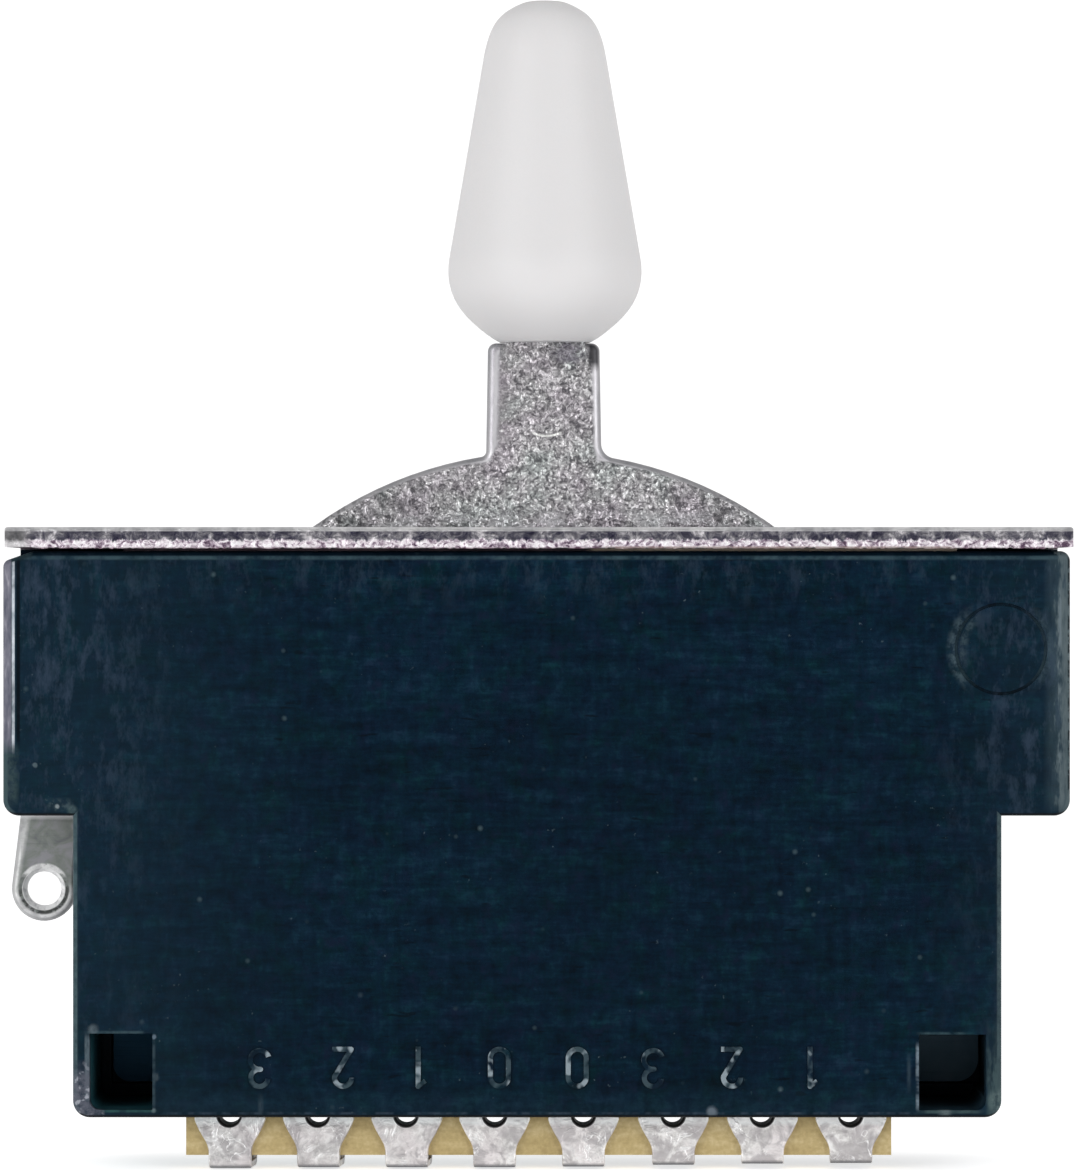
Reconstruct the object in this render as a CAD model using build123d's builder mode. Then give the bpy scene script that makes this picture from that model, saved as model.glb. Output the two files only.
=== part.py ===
from build123d import *
import math
import os

# Lever selector switch of the closed box kind, three positions, two poles.
# Frame: origin at the centre of the mounting plate's top face, midway between
# the two screw holes. +X runs to the right as the numbered face is looked at,
# -Y points out of that face, +Z points along the lever towards its tip.
# All sizes are in millimetres.

os.makedirs("parts", exist_ok=True)

# ---------------------------------------------------------------- dimensions
# folded steel frame
SHEET = 1.0                # sheet thickness of plate and back wall
PLATE_X = 26.7             # half length of the plate
PLATE_Y = 5.25             # half width of the plate
WALL_Y = PLATE_Y - SHEET   # inner face of the back wall
BEND_R = 1.15              # outer radius of the fold
SCREW_X = 20.65            # half of the 41.3 mm screw spacing
SCREW_R = 1.45             # tapping hole for an M3.5 screw
SLOT_X = 13.5              # half length of the lever slot
SLOT_W = 1.8               # width of the lever slot
BACK_L, BACK_R, BACK_Z = -21.9, 22.6, -28.45   # lower part of the back wall
EYE_X, EYE_Z = -25.5, -18.54                   # solder eye for the earth wire
EYE_R, EYE_HOLE = 1.67, 0.88
ARRIS = 0.15               # edges rolled over by the shearing
EYE_ARRIS = 0.3            # the eye's front outline, rounded further

# moulded box
FRONT_Y = -5.0             # front face
FRONT_T = 1.2              # front wall
INNER_Y = FRONT_Y + FRONT_T
BOX_TOP = -1.2
SHOULDER_Z = -14.45
BOX_BOT = -29.55
UP_L, UP_R = -26.82, 26.58
LOW_L, LOW_R = -23.33, 23.15
SIDE_T = 1.25
FLOOR_T = 0.95
HOOK_Y = 6.0               # back of the two snap hooks
WINDOW_R = 0.5             # lower outer corner of each window
NUMBER_Z = -27.03          # middle of the row of raised numbers

# circuit board and its contacts
BOARD_F, BOARD_B = -3.35, -1.75
TRACK_T = 0.1
BOARD_TOP, BOARD_BOT = -1.06, -31.55
TONGUE_L, TONGUE_R = -17.74, 17.71
LUG_Z = -29.51             # wire hole in each lug
LUG_HOLE = 0.62
BOARD_HOLE = 0.52          # the board's own holes behind the lugs
LUG_T = 0.35
LUGS = [                   # name, centre, lowest point, skew of the fold
    ("solder_lug_left_3", -15.56, -32.21, 0.22),
    ("solder_lug_left_2", -11.12, -32.17, 0.22),
    ("solder_lug_left_1", -6.68, -32.17, 0.20),
    ("solder_lug_left_common", -2.23, -32.17, 0.0),
    ("solder_lug_right_common", 2.23, -32.14, 0.02),
    ("solder_lug_right_3", 6.74, -32.05, 0.05),
    ("solder_lug_right_2", 11.21, -31.99, 0.08),
    ("solder_lug_right_1", 15.65, -31.96, 0.1),
]

# lever
PIV_X, PIV_Z = 0.24, -16.08
LEVER_T = 1.2
DISC_R = 19.94
CAM_R = 9.0                # lower rim with the three notches
NOTCH_R = 7.7              # depth of a notch, from the pivot
SWING = 27.0               # angle between neighbouring positions, degrees
STEM_TOP, STEM_BOT = 9.37, 3.2
STEM_W1, STEM_W2 = 5.66, 5.94
TANG_W, TANG_TOP = 4.2, 18.4
TIP_X = 0.3                # axis of the moulded tip, pressed on a little off centre
PIN_R = 1.95               # shoulder of the pivot rivet
BORE_R = 2.0

# contacts: radius of the common rail and of the three pads
RAIL_R, PAD_R = 8.0, 12.0
PEG_X, PEG_Z = 19.2, (-5.2, -22.6)
SPRING_PIN_X, SPRING_PIN_Z, SPRING_PIN_R = 11.3, -26.6, 0.8


def near(sketch, x, z):
    """The sketch vertex closest to a point of the sketch plane."""
    return sketch.vertices().sort_by_distance((x, z, 0))[0]


def polar(r, deg):
    """Point at r from the pivot, deg clockwise from straight up."""
    a = math.radians(deg)
    return (PIV_X + r * math.sin(a), PIV_Z + r * math.cos(a))


# ---------------------------------------------------------- mounting_frame
# One steel sheet folded once: the slotted plate on top and the back wall that
# closes the box and carries the pivot. The wall's left shoulder runs out into
# the eye for the earth wire.
with BuildPart() as mounting_frame:
    with BuildSketch(Plane.YZ.offset(-28.5)) as fold:
        with BuildLine():
            Polyline(
                (-PLATE_Y, 0), (PLATE_Y, 0), (PLATE_Y, -30), (WALL_Y, -30),
                (WALL_Y, -SHEET), (-PLATE_Y, -SHEET), close=True,
            )
        make_face()
        fillet(near(fold, PLATE_Y, 0), BEND_R)
        fillet(near(fold, WALL_Y, -SHEET), BEND_R - SHEET)
    extrude(amount=57.0)
    with BuildSketch(Plane.XZ.offset(-8.0)) as outline:
        with BuildLine():
            Polyline(
                (-PLATE_X, 1), (PLATE_X, 1), (PLATE_X, -14.35), (BACK_R, -14.35),
                (BACK_R, BACK_Z), (BACK_L, BACK_Z), (BACK_L, -14.6),
                (-PLATE_X, -14.6), close=True,
            )
        make_face()
        with BuildSketch(Plane.XY) as eye:
            with Locations((EYE_X, EYE_Z)):
                Circle(EYE_R)
            with BuildLine():
                Line((-PLATE_X, -14.6), (-23.6, -14.3))
            make_hull()
        fillet(near(outline, BACK_R, BACK_Z), 1.1)
        fillet(near(outline, BACK_L, BACK_Z), 0.85)
        fillet(near(outline, PLATE_X, -14.35), 0.5)
    extrude(amount=16.0, mode=Mode.INTERSECT)
    # lever slot
    with BuildSketch(Plane.XY.offset(1)):
        with Locations((PIV_X, 0)):
            RectangleRounded(2 * SLOT_X, SLOT_W, 0.45)
    extrude(amount=-3, mode=Mode.SUBTRACT)
    # the shearing has rolled over the outline of both outer faces and the
    # slot's upper rim; the eye is deburred on its front too
    outer_rims = (
        mounting_frame.faces().filter_by(GeomType.PLANE)
        .filter_by(lambda f: f.center().Z > -0.01 or f.center().Y > PLATE_Y - 0.01)
        .edges().filter_by(lambda e: e.length < 50 or e.center().Y < 0)
    )
    fold_ends = (
        mounting_frame.edges().filter_by(GeomType.CIRCLE)
        .filter_by(lambda e: abs(e.radius - BEND_R) < 0.01)
    )
    fillet(outer_rims + fold_ends, ARRIS)
    eye_outline = mounting_frame.edges().filter_by(
        lambda e: abs(e.bounding_box().min.Y - WALL_Y) < 0.001
        and abs(e.bounding_box().max.Y - WALL_Y) < 0.001
        and e.bounding_box().max.Z < -14.59 and e.bounding_box().max.X < -23.3
        and e.bounding_box().size.Z > 1
    )
    fillet(eye_outline, EYE_ARRIS)
    # two tapped holes
    with BuildSketch(Plane.XY.offset(1)):
        with Locations((-SCREW_X, 0), (SCREW_X, 0)):
            Circle(SCREW_R)
    extrude(amount=-3, mode=Mode.SUBTRACT)
    # holes in the back wall: eye, pivot, spring pins, pegs of the box
    with BuildSketch(Plane.XZ.offset(-8.0)):
        with Locations((EYE_X, EYE_Z)):
            Circle(EYE_HOLE)
        with Locations((PIV_X, PIV_Z)):
            Circle(1.5)
        with Locations((PIV_X - SPRING_PIN_X, SPRING_PIN_Z),
                       (PIV_X + SPRING_PIN_X, SPRING_PIN_Z)):
            Circle(SPRING_PIN_R)
        with Locations((-24.2, -11.9), (24.0, -11.9)):
            Circle(0.92)
    extrude(amount=5.0, mode=Mode.SUBTRACT)
    # the eye's rim is coined on both faces
    eye_rims = (
        mounting_frame.edges().filter_by(GeomType.CIRCLE)
        .filter_by(lambda e: abs(e.arc_center.X - EYE_X) < 0.05
                   and abs(e.arc_center.Z - EYE_Z) < 0.05
                   and abs(e.radius - EYE_HOLE) < 0.01)
    )
    chamfer(eye_rims, 0.2)
mounting_frame.part.label = "mounting_frame"
export_step(mounting_frame.part, "parts/mounting_frame.step")

# ---------------------------------------------------------------- housing
# One moulding, open at the back and at the top, with hollow shoulders for the
# ends of the mounting screws, the slot for the board's tongue, two windows
# that free the snap hooks from the mould, and raised terminal numbers.
with BuildPart() as housing:
    with BuildSketch(Plane.XZ.offset(-WALL_Y)) as shell:
        with BuildLine():
            Polyline(
                (UP_L, -1.72), (UP_L + 1.5, BOX_TOP), (UP_R, BOX_TOP),
                (UP_R, SHOULDER_Z), (LOW_R, SHOULDER_Z), (LOW_R, BOX_BOT),
                (LOW_L, BOX_BOT), (LOW_L, SHOULDER_Z), (UP_L, SHOULDER_Z),
                close=True,
            )
        make_face()
        fillet(near(shell, UP_L, -1.72), 0.4)
        fillet(near(shell, UP_R, BOX_TOP), 0.5)
        fillet(near(shell, UP_R, SHOULDER_Z), 0.8)
        fillet(near(shell, UP_L, SHOULDER_Z), 0.8)
        fillet(near(shell, LOW_R, BOX_BOT), 0.85)
        fillet(near(shell, LOW_L, BOX_BOT), 0.85)
        fillet(near(shell, UP_L + 1.5, BOX_TOP), 0.8)
    extrude(amount=WALL_Y - FRONT_Y)
    # soft edge all round the front face
    fillet(housing.faces().sort_by(Axis.Y)[0].edges(), 0.38)
    # inside
    with BuildSketch(Plane.XZ.offset(-WALL_Y)):
        with BuildLine():
            Polyline(
                (UP_L + SIDE_T, 2), (UP_R - SIDE_T, 2),
                (UP_R - SIDE_T, SHOULDER_Z + SIDE_T),
                (LOW_R - SIDE_T, SHOULDER_Z + SIDE_T),
                (LOW_R - SIDE_T, BOX_BOT + FLOOR_T),
                (LOW_L + SIDE_T, BOX_BOT + FLOOR_T),
                (LOW_L + SIDE_T, SHOULDER_Z + SIDE_T),
                (UP_L + SIDE_T, SHOULDER_Z + SIDE_T),
                close=True,
            )
        make_face()
    extrude(amount=WALL_Y - INNER_Y, mode=Mode.SUBTRACT)
    # standing ribs beside the board and pads behind it
    with BuildSketch(Plane.XZ.offset(-INNER_Y)):
        with BuildLine():
            Polyline((LOW_L + SIDE_T, SHOULDER_Z), (-20.98, SHOULDER_Z),
                     (-20.98, -24.7), (LOW_L + SIDE_T, -24.7), close=True)
        make_face()
        with BuildLine():
            Polyline((LOW_R - SIDE_T, SHOULDER_Z), (21.08, SHOULDER_Z),
                     (21.08, -24.7), (LOW_R - SIDE_T, -24.7), close=True)
        make_face()
    extrude(amount=-(BOARD_B - INNER_Y))
    # seats and staked pegs that hold the board
    with BuildSketch(Plane.XZ.offset(-INNER_Y)):
        with Locations(*[(s * PEG_X, z) for s in (-1, 1) for z in PEG_Z]):
            Circle(1.55)
    extrude(amount=-(BOARD_F - INNER_Y))
    with BuildSketch(Plane.XZ.offset(-BOARD_F)):
        with Locations(*[(s * PEG_X, z) for s in (-1, 1) for z in PEG_Z]):
            Circle(0.9)
    extrude(amount=-(BOARD_B - BOARD_F + 0.1))
    with BuildSketch(Plane.XZ.offset(-BOARD_B)):
        with Locations(*[(s * PEG_X, z) for s in (-1, 1) for z in PEG_Z]):
            Circle(1.35)
    extrude(amount=-0.45, taper=20)
    # slot in the floor for the board's tongue and the lugs
    with BuildSketch(Plane.XY.offset(BOX_BOT - 1)):
        with BuildLine():
            Polyline((TONGUE_L - 0.2, INNER_Y), (TONGUE_R + 0.2, INNER_Y),
                     (TONGUE_R + 0.2, -1.15), (TONGUE_L - 0.2, -1.15), close=True)
        make_face()
    extrude(amount=FLOOR_T + 1.5, mode=Mode.SUBTRACT)
    # corner posts with the pegs that are staked over the back wall
    with BuildSketch(Plane.XZ.offset(-INNER_Y)):
        with Locations((-24.2, -11.9), (24.0, -11.9)):
            Rectangle(2.8, 2.8)
    extrude(amount=-(WALL_Y - INNER_Y))
    with BuildSketch(Plane.XZ.offset(-WALL_Y)):
        with Locations((-24.2, -11.9), (24.0, -11.9)):
            Circle(0.9)
    extrude(amount=-(SHEET + 0.1))
    with BuildSketch(Plane.XZ.offset(-PLATE_Y)):
        with Locations((-24.2, -11.9), (24.0, -11.9)):
            Circle(1.45)
    extrude(amount=-0.5, taper=25)
    # windows, open straight back to the hooks
    with BuildSketch(Plane.XZ.offset(-WALL_Y)) as windows:
        with BuildLine():
            Polyline((-22.48, -29.15), (-19.33, -29.15),
                     (-19.33, -25.33), (-22.48, -25.33), close=True)
        make_face()
        with BuildLine():
            Polyline((19.0, -29.17), (22.35, -29.17),
                     (22.35, -25.38), (19.0, -25.38), close=True)
        make_face()
        fillet(near(windows, -22.48, -29.15), WINDOW_R)
        fillet(near(windows, 22.35, -29.17), WINDOW_R)
    extrude(amount=WALL_Y - FRONT_Y + 1, mode=Mode.SUBTRACT)
    # behind the front wall the right one widens to the hook's thin cheek
    with BuildSketch(Plane.XZ.offset(-WALL_Y)):
        with BuildLine():
            Polyline((21.0, -28.6), (22.72, -28.6),
                     (22.72, -25.38), (21.0, -25.38), close=True)
        make_face()
    extrude(amount=WALL_Y - INNER_Y, mode=Mode.SUBTRACT)
    # snap hooks: cheeks outside the wall's lower corners
    with BuildSketch(Plane.XZ.offset(-WALL_Y)) as cheeks:
        with BuildLine():
            Polyline((LOW_L, -24.9), (LOW_L, BOX_BOT), (-18.9, BOX_BOT),
                     (-18.9, -28.57), (-22.02, -28.57), (-22.02, -24.9), close=True)
        make_face()
        with BuildLine():
            Polyline((LOW_R, -24.95), (LOW_R, BOX_BOT), (18.6, BOX_BOT),
                     (18.6, -28.57), (22.72, -28.57), (22.72, -24.95), close=True)
        make_face()
        fillet(near(cheeks, LOW_L, BOX_BOT), 0.85)
        fillet(near(cheeks, LOW_R, BOX_BOT), 0.85)
    extrude(amount=-(HOOK_Y - WALL_Y))
    # and their lips behind it
    with BuildSketch(Plane.XZ.offset(-(PLATE_Y + 0.05))) as lips:
        with BuildLine():
            Polyline((LOW_L, -24.9), (LOW_L, BOX_BOT), (-18.9, BOX_BOT),
                     (-18.9, -27.6), (-21.0, -27.6), (-21.0, -24.9), close=True)
        make_face()
        with BuildLine():
            Polyline((LOW_R, -24.95), (LOW_R, BOX_BOT), (18.6, BOX_BOT),
                     (18.6, -27.6), (21.7, -27.6), (21.7, -24.95), close=True)
        make_face()
        fillet(near(lips, LOW_L, BOX_BOT), 0.85)
        fillet(near(lips, LOW_R, BOX_BOT), 0.85)
    extrude(amount=-(HOOK_Y - PLATE_Y - 0.05))
    # shallow round gate mark
    with BuildSketch(Plane.XZ.offset(-FRONT_Y)):
        with Locations((23.1, -6.1)):
            Circle(2.32)
            Circle(2.16, mode=Mode.SUBTRACT)
    extrude(amount=-0.09, mode=Mode.SUBTRACT)
    # raised terminal numbers, read with the lever pointing down
    for label, x in zip("32100321", (-13.97, -9.79, -5.99, -1.98, 1.91, 5.7, 9.65, 13.6)):
        number_plane = Plane(origin=(x, FRONT_Y, NUMBER_Z), x_dir=(-1, 0, 0), z_dir=(0, -1, 0))
        with BuildSketch(number_plane):
            if label == "0":
                SlotOverall(2.1, 1.15, rotation=90)
                SlotOverall(1.6, 0.65, rotation=90, mode=Mode.SUBTRACT)
            elif label == "1":
                with BuildLine():
                    Line((0.05, -1.05), (0.05, 0.93))
                trace(line_width=0.25)
                with BuildLine():
                    Line((0.05, 0.93), (-0.3, 0.66))
                trace(line_width=0.22)
                with Locations((0.05, 0.93)):
                    Circle(0.125)
            elif label == "2":
                with BuildLine():
                    ThreePointArc((-0.43, 0.5), (0.0, 0.925), (0.43, 0.45))
                trace(line_width=0.25)
                with BuildLine():
                    Line((0.43, 0.45), (-0.4, -0.925))
                trace(line_width=0.25)
                with BuildLine():
                    Line((-0.4, -0.925), (0.55, -0.925))
                trace(line_width=0.25)
                with Locations((0.43, 0.45), (-0.4, -0.925)):
                    Circle(0.125)
            else:
                with BuildLine():
                    ThreePointArc((-0.42, 0.55), (0.38, 0.72), (-0.05, 0.08))
                trace(line_width=0.25)
                with BuildLine():
                    ThreePointArc((-0.05, 0.08), (0.38, -0.65), (-0.45, -0.55))
                trace(line_width=0.25)
                with Locations((-0.05, 0.08)):
                    Circle(0.125)
        extrude(amount=0.1)
housing.part.label = "housing"
export_step(housing.part, "parts/housing.step")

# ------------------------------------------------------------ circuit_board
# Phenolic board, 1.6 mm, standing behind the front wall. Its tongue comes out
# of the box's floor and carries the eight lugs.
with BuildPart() as circuit_board:
    with BuildSketch(Plane.XZ.offset(-BOARD_B)) as board:
        with BuildLine():
            Polyline(
                (-20.9, BOARD_TOP), (21.0, BOARD_TOP), (21.0, -24.8),
                (TONGUE_R, -24.8), (TONGUE_R, BOARD_BOT), (TONGUE_L, BOARD_BOT),
                (TONGUE_L, -24.8), (-20.9, -24.8), close=True,
            )
        make_face()
        fillet(near(board, -20.9, -24.8), 0.5)
        fillet(near(board, 21.0, -24.8), 0.5)
        with Locations(*[(s * PEG_X, z) for s in (-1, 1) for z in PEG_Z]):
            Circle(0.93, mode=Mode.SUBTRACT)
        with Locations(*[(x, LUG_Z) for _, x, _, _ in LUGS]):
            Circle(BOARD_HOLE, mode=Mode.SUBTRACT)
    extrude(amount=BOARD_B - BOARD_F)
circuit_board.part.label = "circuit_board"
export_step(circuit_board.part, "parts/circuit_board.step")

# ------------------------------------------------------------ contact_tracks
# Eight plated nets on the board's back: for each pole one common rail and
# three pads, each with its path to a lug.
with BuildPart() as contact_tracks:
    for side in (-1, 1):
        rail_x, pads_x = PIV_X + side * RAIL_R, PIV_X + side * PAD_R
        lug_x = [x for _, x, _, _ in LUGS]
        lugs_out = lug_x[3::-1] if side < 0 else lug_x[4:]      # common, then outwards
        pads = [polar(PAD_R, side * (90 + a)) for a in (SWING, 0, -SWING)]
        # common rail and its path
        rail = [polar(RAIL_R, side * (90 + a)) for a in (-34, 0, 34)]
        with BuildSketch(Plane.XZ.offset(-BOARD_B)):
            with BuildLine():
                ThreePointArc(rail[0], rail[1], rail[2])
            trace(line_width=1.8)
            with BuildLine():
                Polyline(rail[2], (lugs_out[0], -25.2), (lugs_out[0], -31.2))
            trace(line_width=1.1)
            with Locations((lugs_out[0], LUG_Z - 0.1)):
                Rectangle(2.0, 3.2)
            with Locations((lugs_out[0], LUG_Z)):
                Circle(BOARD_HOLE, mode=Mode.SUBTRACT)
        extrude(amount=-TRACK_T)
        # three pads, the lowest goes to the nearest lug
        out = PIV_X + side * 14.6
        far = PIV_X + side * 16.6
        routes = [
            [pads[0], (lugs_out[1], -26.4), (lugs_out[1], -31.2)],
            [pads[1], (out, PIV_Z - 1.4), (out, -23.4), (lugs_out[2], -26.6), (lugs_out[2], -31.2)],
            [pads[2], (far, PIV_Z + 2.4), (far, -25.2), (lugs_out[3], -26.6), (lugs_out[3], -31.2)],
        ]
        for route in routes:
            with BuildSketch(Plane.XZ.offset(-BOARD_B)):
                with BuildLine():
                    Polyline(*route)
                trace(line_width=0.9)
                with Locations(route[0]):
                    Circle(1.35)
                with Locations((route[-1][0], LUG_Z - 0.1)):
                    Rectangle(2.0, 3.2)
                with Locations((route[-1][0], LUG_Z)):
                    Circle(BOARD_HOLE, mode=Mode.SUBTRACT)
            extrude(amount=-TRACK_T)
contact_tracks.part.label = "contact_tracks"
export_step(contact_tracks.part, "parts/contact_tracks.step")

# --------------------------------------------------------------- solder lugs
# Each lug is one strip folded round the tongue's lower edge: broad at the wire
# hole, waisted below it, with a narrow fold at the bottom. Some are folded a
# little askew, so that the back leaf stands out to the right.
LEAF_F = BOARD_F - LUG_T               # front of the front leaf
LEAF_B = BOARD_B + TRACK_T + LUG_T     # back of the back leaf
for lug_name, lug_x, lug_low, lug_skew in LUGS:
    with BuildPart() as lug:
        with BuildSketch(Plane.YZ.offset(lug_x - 2.8)) as clip:
            with BuildLine():
                Polyline(
                    (LEAF_F, -27.7), (LEAF_F, lug_low), (LEAF_B, lug_low),
                    (LEAF_B, -28.2), (LEAF_B - LUG_T, -28.2),
                    (LEAF_B - LUG_T, lug_low + LUG_T), (BOARD_F, lug_low + LUG_T),
                    (BOARD_F, -27.7), close=True,
                )
            make_face()
            fillet(near(clip, LEAF_F, lug_low), 0.42)
            fillet(near(clip, LEAF_B, lug_low), 0.42)
        extrude(amount=5.6)
        with BuildSketch(Plane.XZ.offset(0.3 - LEAF_F)):
            with BuildLine():
                top_l = Line((lug_x - 1.78, -27.2), (lug_x - 1.78, -29.75))
                side_l = Spline((lug_x - 1.78, -29.75), (lug_x - 1.4, -30.55), (lug_x - 1.07, -31.45),
                                tangents=[(0.35, -1), (0, -1)])
                low_l = Line((lug_x - 1.07, -31.45), (lug_x - 1.07, -33))
                low = Line((lug_x - 1.07, -33), (lug_x + 1.07, -33))
                low_r = Line((lug_x + 1.07, -33), (lug_x + 1.07, -31.45))
                side_r = Spline((lug_x + 1.07, -31.45), (lug_x + 1.4, -30.55), (lug_x + 1.78, -29.75),
                                tangents=[(0, 1), (0.35, 1)])
                top_r = Line((lug_x + 1.78, -29.75), (lug_x + 1.78, -27.2))
                top = Line((lug_x + 1.78, -27.2), (lug_x - 1.78, -27.2))
            make_face()
        extrude(amount=3.6, dir=(lug_skew / (LEAF_B - LEAF_F), 1, 0), mode=Mode.INTERSECT)
        # stamped edges of the front leaf, rounded
        fillet(lug.edges().filter_by(
            lambda e: abs(e.bounding_box().min.Y - LEAF_F) < 0.001 and e.bounding_box().size.Z > 0.02
            and (e.bounding_box().size.Y < 0.001
                 or e.bounding_box().size.Y > 0.3 and e.bounding_box().max.Z < lug_low + 0.5)
        ), 0.09)
        with BuildSketch(Plane.XZ.offset(0.5)):
            with Locations((lug_x, LUG_Z)):
                Circle(LUG_HOLE)
        extrude(amount=6.0, both=True, mode=Mode.SUBTRACT)
    lug.part.label = lug_name
    export_step(lug.part, f"parts/{lug_name}.step")

# ------------------------------------------------------------------- lever
# One stamping: the tall blade, the round shield that keeps the slot closed in
# every position, and the notched rim that the spring's nose drops into.
with BuildPart() as lever:
    with BuildSketch(Plane.XZ.offset(-LEVER_T / 2)) as blade:
        with Locations((PIV_X, PIV_Z)):
            Circle(DISC_R)
        with BuildLine():
            Polyline(
                (PIV_X + DISC_R * math.sin(math.radians(70)), PIV_Z + DISC_R * math.cos(math.radians(70))),
                (PIV_X + 8.4, PIV_Z - 3.0), (PIV_X - 8.4, PIV_Z - 3.0),
                (PIV_X - DISC_R * math.sin(math.radians(70)), PIV_Z + DISC_R * math.cos(math.radians(70))),
                (PIV_X - DISC_R - 3, PIV_Z + DISC_R + 3), (PIV_X + DISC_R + 3, PIV_Z + DISC_R + 3),
                close=True,
            )
        make_face(mode=Mode.INTERSECT)
        fillet(blade.vertices().group_by(Axis.X)[0], 1.2)
        fillet(blade.vertices().group_by(Axis.X)[-1], 1.2)
        with Locations((PIV_X, PIV_Z)):
            Circle(CAM_R)
        with BuildLine():
            Polyline(
                (PIV_X - STEM_W2 / 2, STEM_BOT - 2), (PIV_X - STEM_W1 / 2, STEM_TOP),
                (PIV_X + STEM_W1 / 2, STEM_TOP), (PIV_X + STEM_W2 / 2, STEM_BOT - 2), close=True,
            )
        make_face()
        fillet(near(blade, PIV_X - STEM_W1 / 2, STEM_TOP), 0.42)
        fillet(near(blade, PIV_X + STEM_W1 / 2, STEM_TOP), 0.42)
        fillet(near(blade, PIV_X - STEM_W2 / 2, 3.64), 0.3)
        fillet(near(blade, PIV_X + STEM_W2 / 2, 3.64), 0.75)
        with Locations((PIV_X, (STEM_TOP + TANG_TOP) / 2 - 0.5)):
            Rectangle(TANG_W, TANG_TOP - STEM_TOP + 1.0)
        fillet(near(blade, PIV_X - TANG_W / 2, TANG_TOP), 0.8)
        fillet(near(blade, PIV_X + TANG_W / 2, TANG_TOP), 0.8)
        for a in (-SWING, 0, SWING):
            mouth = 1.5
            with BuildLine():
                Polyline(polar(NOTCH_R, 180 + a),
                         polar((NOTCH_R + mouth) / math.cos(math.atan(mouth / (NOTCH_R + mouth))),
                               180 + a - math.degrees(math.atan(mouth / (NOTCH_R + mouth)))),
                         polar((NOTCH_R + mouth) / math.cos(math.atan(mouth / (NOTCH_R + mouth))),
                               180 + a + math.degrees(math.atan(mouth / (NOTCH_R + mouth)))),
                         close=True)
            make_face(mode=Mode.SUBTRACT)
        with Locations((PIV_X, PIV_Z)):
            Circle(BORE_R, mode=Mode.SUBTRACT)
        with Locations((PIV_X, PIV_Z - 4.45), (PIV_X, PIV_Z + 4.45)):
            Circle(0.7, mode=Mode.SUBTRACT)
    extrude(amount=LEVER_T)
    # the stamping's edges are rolled over along the stem and the shield
    rolled = (
        lever.faces().filter_by(Axis.Y).edges()
        .filter_by(lambda e: e.center().Z > -8.6 and abs(e.center().Y) > 0.55
                   and not (abs(e.center().X - PIV_X) <= TANG_W / 2 + 0.01 and e.center().Z > STEM_TOP - 0.01)
                   and not (e.center().Z > STEM_TOP + 0.05))
    )
    fillet(rolled.filter_by(lambda e: e.center().Z < STEM_TOP - 0.02), 0.36)
lever.part.label = "lever"
export_step(lever.part, "parts/lever.step")

# --------------------------------------------------------------- lever_tip
# Moulded knob, turned form: a flat foot, a full lower bulge and a slim round
# top. The lever's tang fills the blind slot in it.
with BuildPart() as lever_tip:
    with BuildSketch(Plane.XZ) as tip_half:
        with BuildLine():
            Line((TIP_X, 9.42), (TIP_X + 2.3, 9.42))
            Spline(
                (TIP_X + 2.3, 9.42), (TIP_X + 3.21, 10.03), (TIP_X + 4.28, 11.10),
                (TIP_X + 4.73, 11.94), (TIP_X + 4.91, 12.87), (TIP_X + 4.82, 13.9),
                tangents=[(1, 0.5), (-0.171, 1)],
            )
            Line((TIP_X + 4.82, 13.9), (TIP_X + 3.11, 23.9))
            Spline(
                (TIP_X + 3.11, 23.9), (TIP_X + 2.84, 24.98), (TIP_X + 2.20, 26.02),
                (TIP_X + 1.30, 26.58), (TIP_X, 26.76),
                tangents=[(-0.171, 1), (-1, 0)],
            )
            Line((TIP_X, 26.76), (TIP_X, 9.42))
        make_face()
    revolve(axis=Axis((TIP_X, 0, 0), (0, 0, 1)), revolution_arc=360)
    with BuildSketch(Plane.XY.offset(9.0)):
        with Locations((PIV_X, 0)):
            Rectangle(TANG_W + 0.04, LEVER_T + 0.04)
    extrude(amount=TANG_TOP + 0.2 - 9.0, mode=Mode.SUBTRACT)
lever_tip.part.label = "lever_tip"
export_step(lever_tip.part, "parts/lever_tip.step")

# -------------------------------------------------------------- pivot_rivet
# Shouldered rivet: head in front of the lever, peened over behind the wall.
AXLE = Axis((PIV_X, 0, PIV_Z), (0, 1, 0))
with BuildPart() as pivot_rivet:
    with BuildSketch(Plane.XY.offset(PIV_Z)) as rivet_half:
        with BuildLine():
            Polyline(
                (PIV_X, -1.3), (PIV_X + 2.3, -1.3), (PIV_X + 2.75, -1.1), (PIV_X + 2.75, -0.85),
                (PIV_X + PIN_R, -0.85), (PIV_X + PIN_R, WALL_Y), (PIV_X + 1.5, WALL_Y),
                (PIV_X + 1.5, PLATE_Y), (PIV_X + 2.5, PLATE_Y), (PIV_X + 2.5, PLATE_Y + 0.2),
                (PIV_X + 2.1, PLATE_Y + 0.48), (PIV_X + 1.4, PLATE_Y + 0.66), (PIV_X + 0.6, PLATE_Y + 0.72),
                (PIV_X, PLATE_Y + 0.72), close=True,
            )
        make_face()
    revolve(axis=AXLE, revolution_arc=360)
pivot_rivet.part.label = "pivot_rivet"
export_step(pivot_rivet.part, "parts/pivot_rivet.step")

# ---------------------------------- rings on the rivet: washers and spacer
with BuildPart() as front_washer:
    with BuildSketch(Plane.XZ.offset(0.85)):
        with Locations((PIV_X, PIV_Z)):
            Circle(3.1)
            Circle(PIN_R + 0.02, mode=Mode.SUBTRACT)
    extrude(amount=-0.22)
front_washer.part.label = "front_washer"
export_step(front_washer.part, "parts/front_washer.step")

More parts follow.
